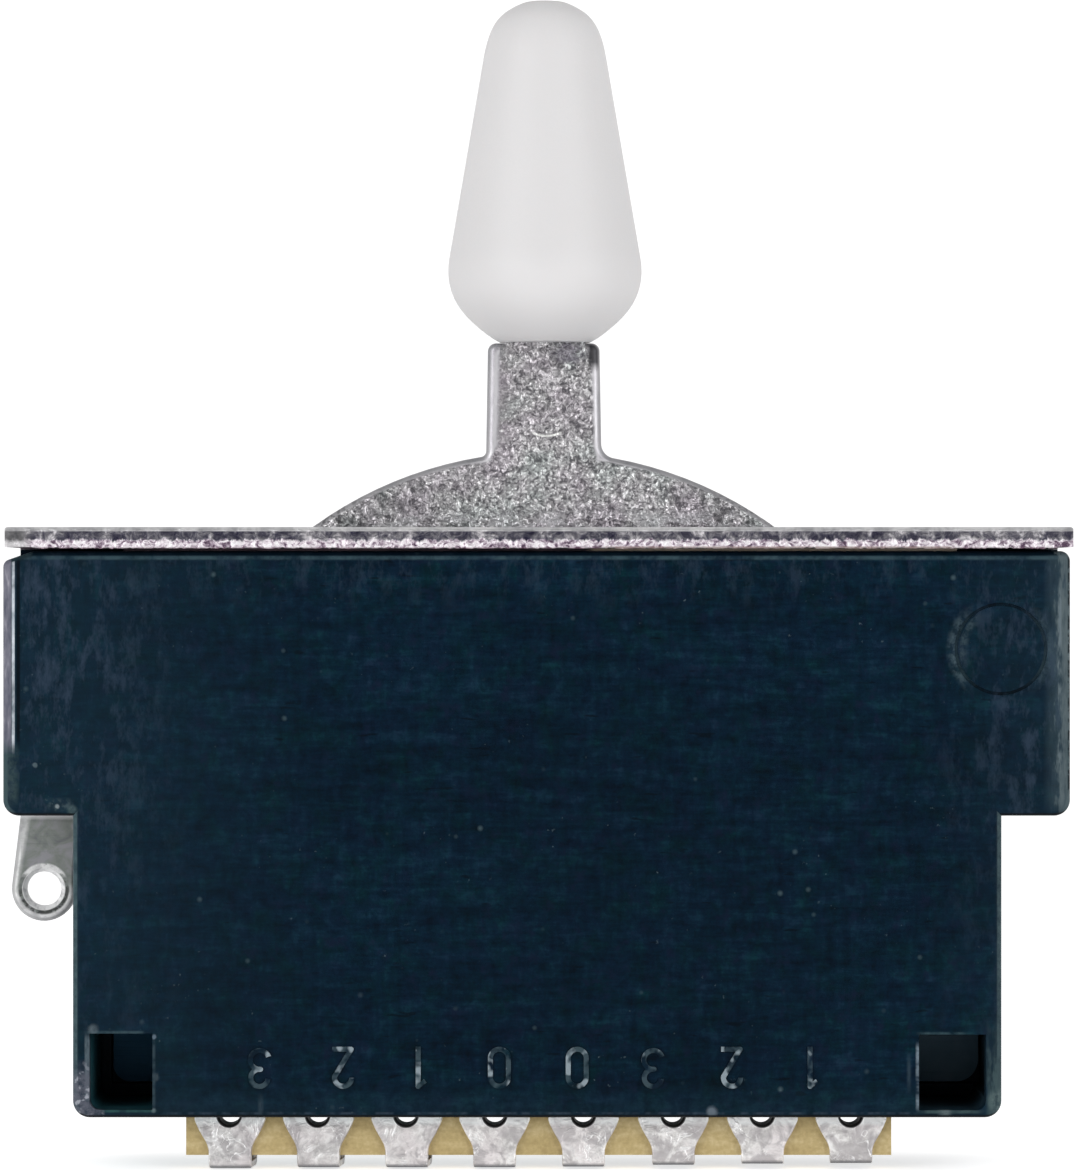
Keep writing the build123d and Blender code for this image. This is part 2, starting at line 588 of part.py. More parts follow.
with BuildPart() as rear_washer:
    with BuildSketch(Plane.XZ.offset(-0.63)):
        with Locations((PIV_X, PIV_Z)):
            Circle(3.1)
            Circle(PIN_R + 0.02, mode=Mode.SUBTRACT)
    extrude(amount=-0.25)
rear_washer.part.label = "rear_washer"
export_step(rear_washer.part, "parts/rear_washer.step")

with BuildPart() as pivot_spacer:
    with BuildSketch(Plane.XZ.offset(-0.88)):
        with Locations((PIV_X, PIV_Z)):
            Circle(3.0)
            Circle(PIN_R + 0.02, mode=Mode.SUBTRACT)
    extrude(amount=-(WALL_Y - 0.88))
pivot_spacer.part.label = "pivot_spacer"
export_step(pivot_spacer.part, "parts/pivot_spacer.step")

# ---------------------------------------------------------- contact_carrier
# Insulating plate riveted to the lever's front, with four staked pegs that
# hold the two contact springs.
CARRIER_F = -1.15
with BuildPart() as contact_carrier:
    with BuildSketch(Plane.XZ.offset(LEVER_T / 2)) as carrier:
        with Locations((PIV_X, PIV_Z)):
            Circle(5.8)
            Rectangle(15.8, 5.0)
            Circle(3.3, mode=Mode.SUBTRACT)
        with Locations((PIV_X, PIV_Z - 4.45), (PIV_X, PIV_Z + 4.45)):
            Circle(0.7, mode=Mode.SUBTRACT)
    extrude(amount=-CARRIER_F - LEVER_T / 2)
    with BuildSketch(Plane.XZ.offset(-CARRIER_F)):
        with Locations(*[(PIV_X + s * 6.6, PIV_Z + h) for s in (-1, 1) for h in (-0.8, 0.8)]):
            Circle(0.4)
    extrude(amount=0.25)
    with BuildSketch(Plane.XZ.offset(-CARRIER_F + 0.2)):
        with Locations(*[(PIV_X + s * 6.6, PIV_Z + h) for s in (-1, 1) for h in (-0.8, 0.8)]):
            Circle(0.6)
    extrude(amount=0.18)
contact_carrier.part.label = "contact_carrier"
export_step(contact_carrier.part, "parts/contact_carrier.step")

# two rivets through carrier and lever
with BuildPart() as carrier_rivets:
    for h in (-4.45, 4.45):
        with BuildSketch(Plane.XY.offset(PIV_Z + h)):
            with BuildLine():
                Polyline(
                    (PIV_X, -1.5), (PIV_X + 0.75, -1.5), (PIV_X + 1.1, -1.3), (PIV_X + 1.1, CARRIER_F),
                    (PIV_X + 0.69, CARRIER_F), (PIV_X + 0.69, 0.6), (PIV_X + 1.1, 0.6),
                    (PIV_X + 1.0, 0.85), (PIV_X, 0.95), close=True,
                )
            make_face()
        revolve(axis=Axis((PIV_X, 0, PIV_Z + h), (0, 1, 0)), revolution_arc=360)
carrier_rivets.part.label = "carrier_rivets"
export_step(carrier_rivets.part, "parts/carrier_rivets.step")

# ---------------------------------------------------------- contact springs
# Bronze strips that bridge the common rail and one pad on each side.
for side, name in ((-1, "contact_spring_left"), (1, "contact_spring_right")):
    with BuildPart() as wiper:
        with BuildSketch(Plane.XY.offset(PIV_Z - 1.3)):
            with BuildLine():
                FilletPolyline(
                    (PIV_X + side * 5.9, -1.255), (PIV_X + side * 7.2, -1.255),
                    (PIV_X + side * 8.0, -1.545), (PIV_X + side * 8.8, -1.36),
                    (PIV_X + side * 11.1, -1.36), (PIV_X + side * 12.0, -1.545),
                    (PIV_X + side * 13.2, -1.2),
                    radius=0.35,
                )
            trace(line_width=0.2)
        extrude(amount=2.6)
        with BuildSketch(Plane.XZ):
            with Locations(*[(PIV_X + side * 6.6, PIV_Z + h) for h in (-0.8, 0.8)]):
                Circle(0.42)
            with BuildLine():
                Polyline((PIV_X + side * 7.3, PIV_Z - 0.2), (PIV_X + side * 14, PIV_Z - 0.2),
                         (PIV_X + side * 14, PIV_Z + 0.2), (PIV_X + side * 7.3, PIV_Z + 0.2), close=True)
            make_face()
        extrude(amount=3.0, mode=Mode.SUBTRACT)
    wiper.part.label = name
    export_step(wiper.part, f"parts/{name}.step")

# ------------------------------------------------------------ detent_spring
# Bent strip held on two pins: its nose stands in the lever's middle notch.
STRIP = 0.35
EYE_LOOP = SPRING_PIN_R + 0.02 + STRIP / 2
with BuildPart() as detent_spring:
    with BuildSketch(Plane.XZ.offset(0.5)):
        with BuildLine():
            lean = 98.8
            dx = EYE_LOOP * math.cos(math.radians(lean))
            dz = EYE_LOOP * math.sin(math.radians(lean))
            left = (PIV_X - SPRING_PIN_X - dx, SPRING_PIN_Z - dz)
            right = (PIV_X + SPRING_PIN_X + dx, SPRING_PIN_Z - dz)
            FilletPolyline(
                left, (PIV_X - 2.0, -26.13), (PIV_X, PIV_Z - NOTCH_R - 0.3),
                (PIV_X + 2.0, -26.13), right,
                radius=(0.5, 0.33, 0.5),
            )
            CenterArc((PIV_X + SPRING_PIN_X, SPRING_PIN_Z), EYE_LOOP, -lean, 255)
            CenterArc((PIV_X - SPRING_PIN_X, SPRING_PIN_Z), EYE_LOOP, -(180 - lean), -255)
        trace(line_width=STRIP)
    extrude(amount=-3.0)
detent_spring.part.label = "detent_spring"
export_step(detent_spring.part, "parts/detent_spring.step")

# the two pins, riveted into the back wall
with BuildPart() as spring_pins:
    for side in (-1, 1):
        with BuildSketch(Plane.XY.offset(SPRING_PIN_Z)):
            px = PIV_X + side * SPRING_PIN_X
            with BuildLine():
                Polyline(
                    (px, -1.1), (px + 1.15, -1.1), (px + 1.3, -0.95), (px + 1.3, -0.6),
                    (px + SPRING_PIN_R, -0.6), (px + SPRING_PIN_R, PLATE_Y), (px + 1.25, PLATE_Y),
                    (px + 1.1, PLATE_Y + 0.3), (px, PLATE_Y + 0.45), close=True,
                )
            make_face()
        revolve(axis=Axis((px, 0, SPRING_PIN_Z), (0, 1, 0)), revolution_arc=360)
spring_pins.part.label = "spring_pins"
export_step(spring_pins.part, "parts/spring_pins.step")
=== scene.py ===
import bpy
import bmesh
import math
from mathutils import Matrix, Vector, noise


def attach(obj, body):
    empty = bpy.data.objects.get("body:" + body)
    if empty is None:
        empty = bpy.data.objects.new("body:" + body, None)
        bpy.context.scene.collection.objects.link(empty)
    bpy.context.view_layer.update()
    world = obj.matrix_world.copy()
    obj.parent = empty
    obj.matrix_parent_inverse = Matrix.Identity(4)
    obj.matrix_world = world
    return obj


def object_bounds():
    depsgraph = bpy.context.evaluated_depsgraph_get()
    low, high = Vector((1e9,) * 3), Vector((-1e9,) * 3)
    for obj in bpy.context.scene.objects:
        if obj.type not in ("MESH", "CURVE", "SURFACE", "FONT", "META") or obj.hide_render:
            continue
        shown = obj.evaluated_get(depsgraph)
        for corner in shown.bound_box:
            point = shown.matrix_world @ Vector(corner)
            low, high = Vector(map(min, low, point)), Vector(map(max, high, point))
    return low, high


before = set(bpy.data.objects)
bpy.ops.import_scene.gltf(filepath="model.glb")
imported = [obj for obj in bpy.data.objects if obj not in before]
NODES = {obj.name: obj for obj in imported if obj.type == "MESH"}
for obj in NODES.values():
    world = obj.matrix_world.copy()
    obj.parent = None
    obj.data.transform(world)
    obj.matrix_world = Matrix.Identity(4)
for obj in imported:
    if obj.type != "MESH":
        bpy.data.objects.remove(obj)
cad_lo, cad_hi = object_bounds()
MM = 0.001

# --------------------------------------------------------------- node helpers


class Tree:
    """A material's node tree, with short calls for the nodes used here."""

    def __init__(self, name):
        self.mat = bpy.data.materials.new(name)
        self.mat.use_nodes = True
        self.t = self.mat.node_tree
        self.t.nodes.clear()
        self.out = self.t.nodes.new("ShaderNodeOutputMaterial")
        self.bsdf = self.t.nodes.new("ShaderNodeBsdfPrincipled")
        self.t.links.new(self.bsdf.outputs[0], self.out.inputs[0])
        tc = self.t.nodes.new("ShaderNodeTexCoord")
        self.obj = tc.outputs["Object"]
        self.nrm = tc.outputs["Normal"]
        self.mm = self.vmath("SCALE", self.obj, scale=1000.0)      # millimetres
        s = self.t.nodes.new("ShaderNodeSeparateXYZ")
        self.link(self.mm, s.inputs[0])
        self.x, self.y, self.z = s.outputs
        s = self.t.nodes.new("ShaderNodeSeparateXYZ")
        self.link(self.nrm, s.inputs[0])
        self.nx, self.ny, self.nz = s.outputs

    def link(self, a, b):
        self.t.links.new(a, b)

    def put(self, socket, value):
        if isinstance(value, bpy.types.NodeSocket):
            self.link(value, socket)
        else:
            socket.default_value = value

    def set(self, **values):
        for k, v in values.items():
            self.put(self.bsdf.inputs[k.replace("_", " ")], v)

    def vmath(self, op, a, b=None, scale=None):
        n = self.t.nodes.new("ShaderNodeVectorMath")
        n.operation = op
        self.put(n.inputs[0], a)
        if b is not None:
            self.put(n.inputs[1], b)
        if scale is not None:
            n.inputs["Scale"].default_value = scale
        return n.outputs[0]

    def math(self, op, a, b=None, c=None, clamp=False):
        n = self.t.nodes.new("ShaderNodeMath")
        n.operation = op
        n.use_clamp = clamp
        self.put(n.inputs[0], a)
        if b is not None:
            self.put(n.inputs[1], b)
        if c is not None:
            self.put(n.inputs[2], c)
        return n.outputs[0]

    def range(self, v, a, b, lo=0.0, hi=1.0, smooth=False):
        n = self.t.nodes.new("ShaderNodeMapRange")
        n.interpolation_type = "SMOOTHSTEP" if smooth else "LINEAR"
        n.clamp = True
        self.put(n.inputs["Value"], v)
        n.inputs["From Min"].default_value = a
        n.inputs["From Max"].default_value = b
        n.inputs["To Min"].default_value = lo
        n.inputs["To Max"].default_value = hi
        return n.outputs[0]

    def noise(self, scale, detail=2.0, rough=0.5, stretch=None, dist=0.0, offset=None, vec=None):
        v = vec if vec is not None else self.mm
        if stretch is not None:
            v = self.vmath("MULTIPLY", v, stretch)
        if offset is not None:
            v = self.vmath("ADD", v, offset)
        n = self.t.nodes.new("ShaderNodeTexNoise")
        n.inputs["Scale"].default_value = scale
        n.inputs["Detail"].default_value = detail
        n.inputs["Roughness"].default_value = rough
        n.inputs["Distortion"].default_value = dist
        self.link(v, n.inputs["Vector"])
        return n.outputs["Fac"]

    def voronoi(self, scale, feature="F1", stretch=None, random=1.0, out="Distance"):
        v = self.mm if stretch is None else self.vmath("MULTIPLY", self.mm, stretch)
        n = self.t.nodes.new("ShaderNodeTexVoronoi")
        n.feature = feature
        n.inputs["Scale"].default_value = scale
        n.inputs["Randomness"].default_value = random
        self.link(v, n.inputs["Vector"])
        return n.outputs[out]

    def ramp(self, fac, stops, mode="LINEAR"):
        n = self.t.nodes.new("ShaderNodeValToRGB")
        n.color_ramp.interpolation = mode
        el = n.color_ramp.elements
        while len(el) < len(stops):
            el.new(0.5)
        for e, (p, c) in zip(el, stops):
            e.position = p
            e.color = (*c, 1.0)
        self.link(fac, n.inputs[0])
        return n.outputs[0]

    def mix(self, fac, a, b, mode="MIX"):
        n = self.t.nodes.new("ShaderNodeMix")
        n.data_type = "RGBA"
        n.blend_type = mode
        n.clamp_result = False
        self.put(n.inputs[0], fac)
        for sock, v in ((n.inputs[6], a), (n.inputs[7], b)):
            if isinstance(v, tuple):
                v = (*v, 1.0) if len(v) == 3 else v
            self.put(sock, v)
        return n.outputs[2]

    def fmix(self, fac, a, b):
        n = self.t.nodes.new("ShaderNodeMix")
        n.data_type = "FLOAT"
        self.put(n.inputs[0], fac)
        self.put(n.inputs[2], a)
        self.put(n.inputs[3], b)
        return n.outputs[0]

    def bump(self, height, strength=1.0, distance_mm=0.01, normal=None):
        n = self.t.nodes.new("ShaderNodeBump")
        n.inputs["Strength"].default_value = strength
        n.inputs["Distance"].default_value = distance_mm * MM
        self.link(height, n.inputs["Height"])
        if normal is not None:
            self.link(normal, n.inputs["Normal"])
        return n.outputs[0]


def srgb(r, g, b):
    """A colour given as 0-255 screen values, as scene-linear."""
    def lin(c):
        c /= 255.0
        return c / 12.92 if c <= 0.04045 else ((c + 0.055) / 1.055) ** 2.4
    return (lin(r), lin(g), lin(b))


# ------------------------------------------------------------------ materials

def make_white_plastic():
    m = Tree("white_satin_plastic")
    cloud = m.noise(0.12, 3.0, 0.5)
    fine = m.noise(9.0, 2.0, 0.6)
    base = m.mix(m.range(cloud, 0.3, 0.7), (0.700, 0.688, 0.694), (0.725, 0.713, 0.718))
    base = m.mix(m.range(fine, 0.35, 0.65), base, (0.704, 0.694, 0.699))
    # lighter towards the bottom: painted light
    base = m.mix(m.range(m.z, 14.0, 10.6, 0.0, 0.8), base, (0.770, 0.758, 0.764))
    height = m.math("ADD", m.math("MULTIPLY", fine, 0.6), m.math("MULTIPLY", m.noise(1.2, 2.0), 1.5))
    m.set(Base_Color=base, Roughness=m.range(fine, 0.3, 0.7, 0.42, 0.5), Normal=m.bump(height, 0.5, 0.004))
    m.bsdf.inputs["Specular IOR Level"].default_value = 0.35
    m.bsdf.inputs["Subsurface Weight"].default_value = 0.15
    m.bsdf.inputs["Subsurface Radius"].default_value = (0.0012, 0.0010, 0.0009)
    m.bsdf.inputs["Subsurface Scale"].default_value = 1.0
    return m.mat


def make_lever_steel():
    m = Tree("nickel_sand_stamping")
    flat = m.range(m.math("ABSOLUTE", m.ny), 0.86, 0.97, smooth=True)
    # distance from the outline, inwards: the blade's sides and top, the shield's rim
    away = m.math("ABSOLUTE", m.math("SUBTRACT", m.x, 0.24))
    half = m.math("SUBTRACT", 3.043, m.math("MULTIPLY", m.z, 0.0227))
    side = m.math("SUBTRACT", half, away)
    top = m.math("SUBTRACT", 9.37, m.z)
    # the border turns in round the two upper corners and fades under the tip
    cx = m.math("MAXIMUM", m.math("SUBTRACT", 0.7, side), 0.0)
    cz = m.math("MULTIPLY", m.math("MAXIMUM", m.math("SUBTRACT", 0.7, top), 0.0), m.range(side, 0.45, 1.0, 1.0, 0.0))
    turn = m.math("SUBTRACT", 0.7, m.math("SQRT", m.math("ADD", m.math("MULTIPLY", cx, cx), m.math("MULTIPLY", cz, cz))))
    blade = m.math("MINIMUM", side, m.math("ADD", turn, m.range(side, 0.6, 0.75, 0.0, 2.0)))
    px = m.math("SUBTRACT", m.x, 0.24)
    pz = m.math("ADD", m.z, 16.08)
    rad = m.math("SQRT", m.math("ADD", m.math("MULTIPLY", px, px), m.math("MULTIPLY", pz, pz)))
    inner = m.math("MAXIMUM", blade, m.math("SUBTRACT", 19.94, rad))
    wob = m.math("MULTIPLY", m.math("SUBTRACT", m.noise(1.1, 3.0, 0.6), 0.5), 0.22)
    wide = m.range(m.x, -2.0, 2.0, 0.64, 0.44)
    far = m.math("ABSOLUTE", px)
    wide = m.fmix(m.range(m.z, 3.6, 4.2), m.range(far, 4.5, 9.0, 0.30, 0.12), wide)
    inner = m.math("DIVIDE", m.math("ADD", inner, wob), wide)
    body = m.range(inner, 0.75, 1.15, smooth=True)
    crest_painted_highlight = m.math("MULTIPLY", m.range(inner, 0.38, 0.62), m.range(inner, 1.0, 0.75))
    grain = m.noise(3.9, 2.0, 0.5, dist=0.9)
    worm = m.noise(3.1, 1.0, 0.4, dist=2.2, offset=(9.0, 4.0, 1.0))
    coarse = m.noise(1.3, 2.0, 0.5, offset=(5.0, 2.0, 8.0))
    pits = m.voronoi(5.4)
    # the blade's left side was rubbed smoother by the tool
    calm = m.math("MULTIPLY", m.range(m.x, -1.1, -2.2), m.range(m.z, 3.4, 4.4))
    calm = m.math("MULTIPLY", calm, m.range(m.noise(0.9, 2.0, 0.5), 0.3, 0.6, 0.55, 1.0))
    rough_zone = m.fmix(calm, 1.0, 0.35)
    both = m.math("ADD", m.math("MULTIPLY", grain, 0.6), m.math("MULTIPLY", worm, 0.4))
    h = m.math("ADD", m.math("SUBTRACT", both, 0.5), m.math("MULTIPLY", m.math("SUBTRACT", pits, 0.38), 0.30))
    h = m.math("ADD", h, m.math("MULTIPLY", m.math("SUBTRACT", coarse, 0.5), 0.3))
    h = m.math("MULTIPLY", h, m.math("ADD", m.math("MULTIPLY", m.math("MULTIPLY", flat, body), 0.95), 0.05))
    h = m.math("MULTIPLY", h, rough_zone)
    tone = m.ramp(both, [(0.38, (0.115, 0.113, 0.120)), (0.46, (0.260, 0.256, 0.262)),
                         (0.54, (0.410, 0.405, 0.412)), (0.62, (0.76, 0.75, 0.76))])
    tone = m.mix(m.math("MULTIPLY", calm, 0.6), tone, (0.40, 0.385, 0.40))
    # lighter towards the middle, the bottom and the right, darker towards the top: painted light and shade
    tone = m.mix(1.0, tone, m.mix(m.range(far, 1.5, 5.0), (1.12, 1.11, 1.12), (1.0, 1.0, 1.0)), "MULTIPLY")
    tone = m.mix(1.0, tone, m.mix(m.range(m.z, 3.0, 4.6), (1.04, 1.04, 1.04), (0.92, 0.92, 0.92)), "MULTIPLY")
    tone = m.mix(1.0, tone, m.mix(m.range(m.x, 2.6, 5.5), (1.0, 1.0, 1.0), (1.16, 1.15, 1.16)), "MULTIPLY")
    pitted = m.math("MULTIPLY", m.range(far, 4.0, 9.0), m.range(m.noise(1.9, 2.0, 0.55, offset=(1.0, 1.0, 7.0)), 0.54, 0.42, 0.0, 0.8))
    tone = m.mix(pitted, tone, (0.085, 0.084, 0.090))
    tint = m.ramp(m.noise(0.42, 2.0, 0.6), [(0.35, (0.93, 1.0, 0.97)), (0.5, (1.0, 1.0, 1.0)), (0.65, (1.0, 0.95, 1.0))])
    tone = m.mix(1.0, tone, tint, "MULTIPLY")
    # bright specks on the grain: painted glints
    painted_glint = m.range(m.noise(3.4, 2.0, 0.6, offset=(2.0, 2.0, 2.0)), 0.66, 0.72)
    tone = m.mix(m.math("MULTIPLY", painted_glint, 0.8), tone, (1.0, 0.98, 1.0))
    # pale smears low on the shield, where it dips into the slot
    dip = m.math("MULTIPLY", m.range(m.z, 1.0, 0.35), m.range(m.noise(0.8, 3.0, 0.6, stretch=(1.0, 1.0, 2.0), offset=(3.0, 5.0, 5.0)), 0.46, 0.58))
    tone = m.mix(m.math("MULTIPLY", dip, 0.6), tone, (0.66, 0.655, 0.68))
    # painted shade under the tip, right of the middle
    sx = m.math("DIVIDE", m.math("SUBTRACT", m.x, 1.5), 1.1)
    sz = m.math("DIVIDE", m.math("SUBTRACT", m.z, 8.9), 0.6)
    painted_shade_under_tip = m.math("ADD", m.math("MULTIPLY", sx, sx), m.math("MULTIPLY", sz, sz))
    painted_shade_under_tip = m.math("MULTIPLY", m.range(painted_shade_under_tip, 1.2, 0.4), m.range(coarse, 0.40, 0.55, 0.25, 0.75))
    tone = m.mix(painted_shade_under_tip, tone, (0.15, 0.135, 0.17))
    # the rolled border of the stamping: a smooth pale band with a painted highlight along its crest
    roll = m.ramp(m.noise(1.6, 3.0, 0.6, stretch=(1.0, 1.0, 0.4)), [(0.3, (0.43, 0.415, 0.45)), (0.7, (0.60, 0.585, 0.62))])
    roll = m.mix(m.math("MULTIPLY", crest_painted_highlight, 0.5), roll, (0.84, 0.83, 0.85))
    tone = m.mix(body, roll, tone)
    # a short curved nick across the blade
    nx_ = m.math("DIVIDE", m.math("SUBTRACT", m.x, 0.38), 0.80)
    nz_ = m.math("SUBTRACT", m.z, m.math("ADD", 4.66, m.math("MULTIPLY", m.math("MULTIPLY", nx_, nx_), 0.20)))
    nick = m.math("MULTIPLY", m.range(m.math("ABSOLUTE", nz_), 0.075, 0.03), m.range(m.math("ABSOLUTE", nx_), 1.0, 0.8))
    nick = m.math("MULTIPLY", nick, m.range(m.ny, -0.5, -0.9))
    tone = m.mix(m.math("MULTIPLY", nick, 0.85), tone, (0.95, 0.95, 0.93))
    edge = m.ramp(m.noise(1.2, 3.0, stretch=(1.0, 1.0, 0.35)), [(0.3, (0.36, 0.36, 0.38)), (0.7, (0.52, 0.51, 0.53))])
    nibs = m.math("MULTIPLY", m.range(far, 7.0, 12.0), m.range(m.noise(4.0, 2.0, 0.6), 0.40, 0.56, 0.9, 0.1))
    edge = m.mix(nibs, edge, (0.09, 0.09, 0.095))
    # painted shade in the upper corner of the right shoulder, under the tip
    shoulder_painted_shade = m.math("MULTIPLY", m.range(m.x, 2.4, 2.6), m.range(m.z, 7.9, 8.4))
    shoulder_painted_shade = m.math("MULTIPLY", shoulder_painted_shade, m.range(m.ny, -0.3, -0.8))
    colour = m.mix(flat, edge, tone)
    colour = m.mix(m.math("MULTIPLY", shoulder_painted_shade, 0.93), colour, (0.035, 0.035, 0.04))
    m.set(Base_Color=colour, Metallic=1.0,
          Roughness=m.fmix(m.math("MULTIPLY", flat, body), m.range(coarse, 0.3, 0.7, 0.44, 0.52), m.range(grain, 0.36, 0.64, 0.48, 0.34)),
          Normal=m.bump(h, 1.0, 0.085))
    return m.mat


def make_frame_steel():
    m = Tree("nickel_plated_sheet")
    # rolled and plated faces: a fine lengthwise grain, faint stains, rare scratches
    roll = m.noise(2.2, 4.0, 0.65, stretch=(0.09, 1.0, 1.0))
    mott = m.noise(0.22, 4.0, 0.6, dist=0.6)
    sand = m.noise(9.0, 2.0, 0.6)
    scr = m.noise(1.0, 1.0, 0.5, stretch=(0.05, 3.1, 3.1), dist=0.5, offset=(7.0, 3.0, 5.0))
    scr = m.math("COMPARE", scr, 0.5, 0.006)
    face = m.ramp(m.math("ADD", m.math("MULTIPLY", roll, 0.55), m.math("MULTIPLY", mott, 0.45)),
                  [(0.32, (0.36, 0.36, 0.375)), (0.5, (0.50, 0.50, 0.515)), (0.68, (0.62, 0.615, 0.62))])
    face = m.mix(m.math("MULTIPLY", scr, 0.35), face, (0.75, 0.75, 0.77))
    # sheared edges: burnished upper band, torn bright lower band
    streak = m.noise(2.6, 4.0, 0.7, stretch=(0.75, 1.0, 0.8), dist=0.6)
    blot = m.noise(1.1, 3.0, 0.6, stretch=(1.0, 1.0, 0.6), offset=(2.0, 5.0, 7.0))
    tear = m.noise(3.1, 3.0, 0.65, stretch=(0.8, 1.0, 1.0), dist=0.9, offset=(3.0, 9.0, 1.0))
    wave = m.math("MULTIPLY", m.math("SUBTRACT", m.noise(1.9, 4.0, 0.7, stretch=(1.0, 0.0, 0.0)), 0.5), 0.9)
    zz = m.math("ADD", m.z, wave)
    torn = m.range(zz, -0.61, -0.71)
    mixed = m.math("ADD", m.math("MULTIPLY", streak, 0.65), m.math("MULTIPLY", blot, 0.35))
    burn = m.ramp(mixed, [(0.37, (0.035, 0.032, 0.062)), (0.47, (0.11, 0.106, 0.14)), (0.55, (0.30, 0.29, 0.32)), (0.65, (0.95, 0.91, 0.95))])
    rip = m.ramp(tear, [(0.35, (0.11, 0.07, 0.11)), (0.44, (0.42, 0.34, 0.41)), (0.53, (0.84, 0.77, 0.82)), (0.65, (1.0, 0.98, 1.0))])
    warm = m.math("MULTIPLY", m.range(m.x, 2.6, 3.6), m.range(m.x, 21.0, 20.5))
    hem = m.math("MAXIMUM", m.range(m.z, -0.99, -1.08), m.math("MULTIPLY", warm, m.range(m.z, -0.95, -1.00)))
    hem_colour = m.mix(warm, (0.17, 0.08, 0.12), (0.34, 0.25, 0.235))
    rip = m.mix(m.math("MULTIPLY", hem, 0.8), rip, hem_colour)
    # the top of the cut edge gets a painted highlight
    cut_top_painted_highlight = m.range(m.z, -0.24, -0.14)
    burn = m.mix(m.math("MULTIPLY", cut_top_painted_highlight, 0.85), burn, m.ramp(blot, [(0.35, (0.62, 0.62, 0.64)), (0.6, (1.0, 0.99, 1.0))]))
    cut = m.mix(torn, burn, rip)
    # its left end was polished flat: plain grey with a paler hem
    plain = m.math("MULTIPLY", m.range(m.x, -25.2, -25.8), m.range(m.ny, -0.5, -0.8))
    dim = m.ramp(blot, [(0.35, (0.16, 0.16, 0.165)), (0.6, (0.34, 0.335, 0.34))])
    dim = m.mix(m.range(m.z, -0.66, -0.80), dim, (0.62, 0.61, 0.62))
    cut = m.mix(m.math("MULTIPLY", plain, 0.9), cut, dim)
    front_edge = m.math("MULTIPLY", m.range(m.ny, -0.75, -0.9), m.range(m.z, -1.2, -1.1))
    front_edge = m.math("MULTIPLY", front_edge, m.range(m.y, -4.9, -5.1))
    end_edge = m.math("MULTIPLY", m.range(m.math("ABSOLUTE", m.nx), 0.8, 0.9), m.range(m.z, -1.2, -1.1))
    is_cut = m.math("MAXIMUM", front_edge, end_edge)
    # the lip where the top face rolls over into the edge gets a painted highlight, and the underside gets painted shade
    lip_painted_highlight = m.math("MULTIPLY", m.math("MULTIPLY", m.range(m.y, -4.98, -5.06), m.range(m.z, -0.24, -0.15)), m.range(m.nz, 0.97, 0.9))
    plate_underside_painted_shade = m.math("MULTIPLY", m.range(m.nz, -0.6, -0.9), m.range(m.z, -0.9, -0.95))
    plate_underside_painted_shade = m.math("MULTIPLY", plate_underside_painted_shade, m.range(m.z, -2.0, -1.8))
    # the eye for the earth wire is duller, with a bright rim and a coined ring
    eye_zone = m.math("MULTIPLY", m.range(m.x, -23.3, -23.5), m.range(m.z, -14.3, -14.5))
    ex = m.math("SUBTRACT", m.x, -25.5)
    ez = m.math("SUBTRACT", m.z, -18.54)
    er = m.math("SQRT", m.math("ADD", m.math("MULTIPLY", ex, ex), m.math("MULTIPLY", ez, ez)))
    dull = m.ramp(m.noise(0.9, 3.0, 0.6, dist=0.6), [(0.35, (0.20, 0.21, 0.225)), (0.5, (0.275, 0.30, 0.28)), (0.65, (0.36, 0.36, 0.385))])
    face = m.mix(eye_zone, face, dull)
    beads = m.math("MULTIPLY", m.range(er, 1.08, 1.13), m.range(er, 1.34, 1.27))
    beads = m.math("MULTIPLY", beads, m.range(m.noise(2.6, 2.0, 0.6), 0.44, 0.54))
    beads = m.math("MULTIPLY", beads, m.math("MAXIMUM", m.range(ez, 0.1, -0.3, 0.3, 1.0), m.range(ex, 0.1, 0.5, 0.0, 0.9)))
    # painted highlight on the eye's rim, low and on the left, broken by dark pits, and its bright coined ring
    slant = m.math("SUBTRACT", m.x, m.math("MULTIPLY", m.math("ADD", m.z, 14.1), 0.17))
    low = m.math("MAXIMUM", m.range(m.z, -18.2, -18.9), m.math("MULTIPLY", m.range(slant, -25.98, -26.22), 0.7))
    eye_rim_painted_highlight = m.math("MULTIPLY", m.range(er, 1.24, 1.36), m.math("MULTIPLY", low, eye_zone))
    face = m.mix(m.math("MULTIPLY", eye_rim_painted_highlight, 0.95), face, m.ramp(m.noise(1.8, 3.0, 0.6), [(0.36, (0.62, 0.62, 0.63)), (0.58, (1.0, 1.0, 1.0))]))
    head = m.math("MULTIPLY", m.range(m.z, -15.0, -14.8), eye_zone)
    face = m.mix(m.math("MULTIPLY", head, 0.7), face, (0.80, 0.80, 0.82))
    face = m.mix(m.math("MULTIPLY", beads, 0.76), face, (0.035, 0.037, 0.035))
    ring = m.math("MULTIPLY", m.range(er, 1.13, 1.09), eye_zone)
    blobs = m.math("MULTIPLY", m.range(er, 1.36, 1.28), m.range(ez, 0.55, 0.85))
    blobs = m.math("MULTIPLY", blobs, m.range(m.noise(2.0, 2.0, 0.6, offset=(6.0, 1.0, 3.0)), 0.42, 0.52))
    ring = m.math("MAXIMUM", ring, m.math("MULTIPLY", blobs, eye_zone))
    face = m.mix(ring, face, m.ramp(m.noise(3.0, 2.0, 0.6), [(0.35, (0.70, 0.70, 0.71)), (0.55, (1.0, 1.0, 1.0))]))
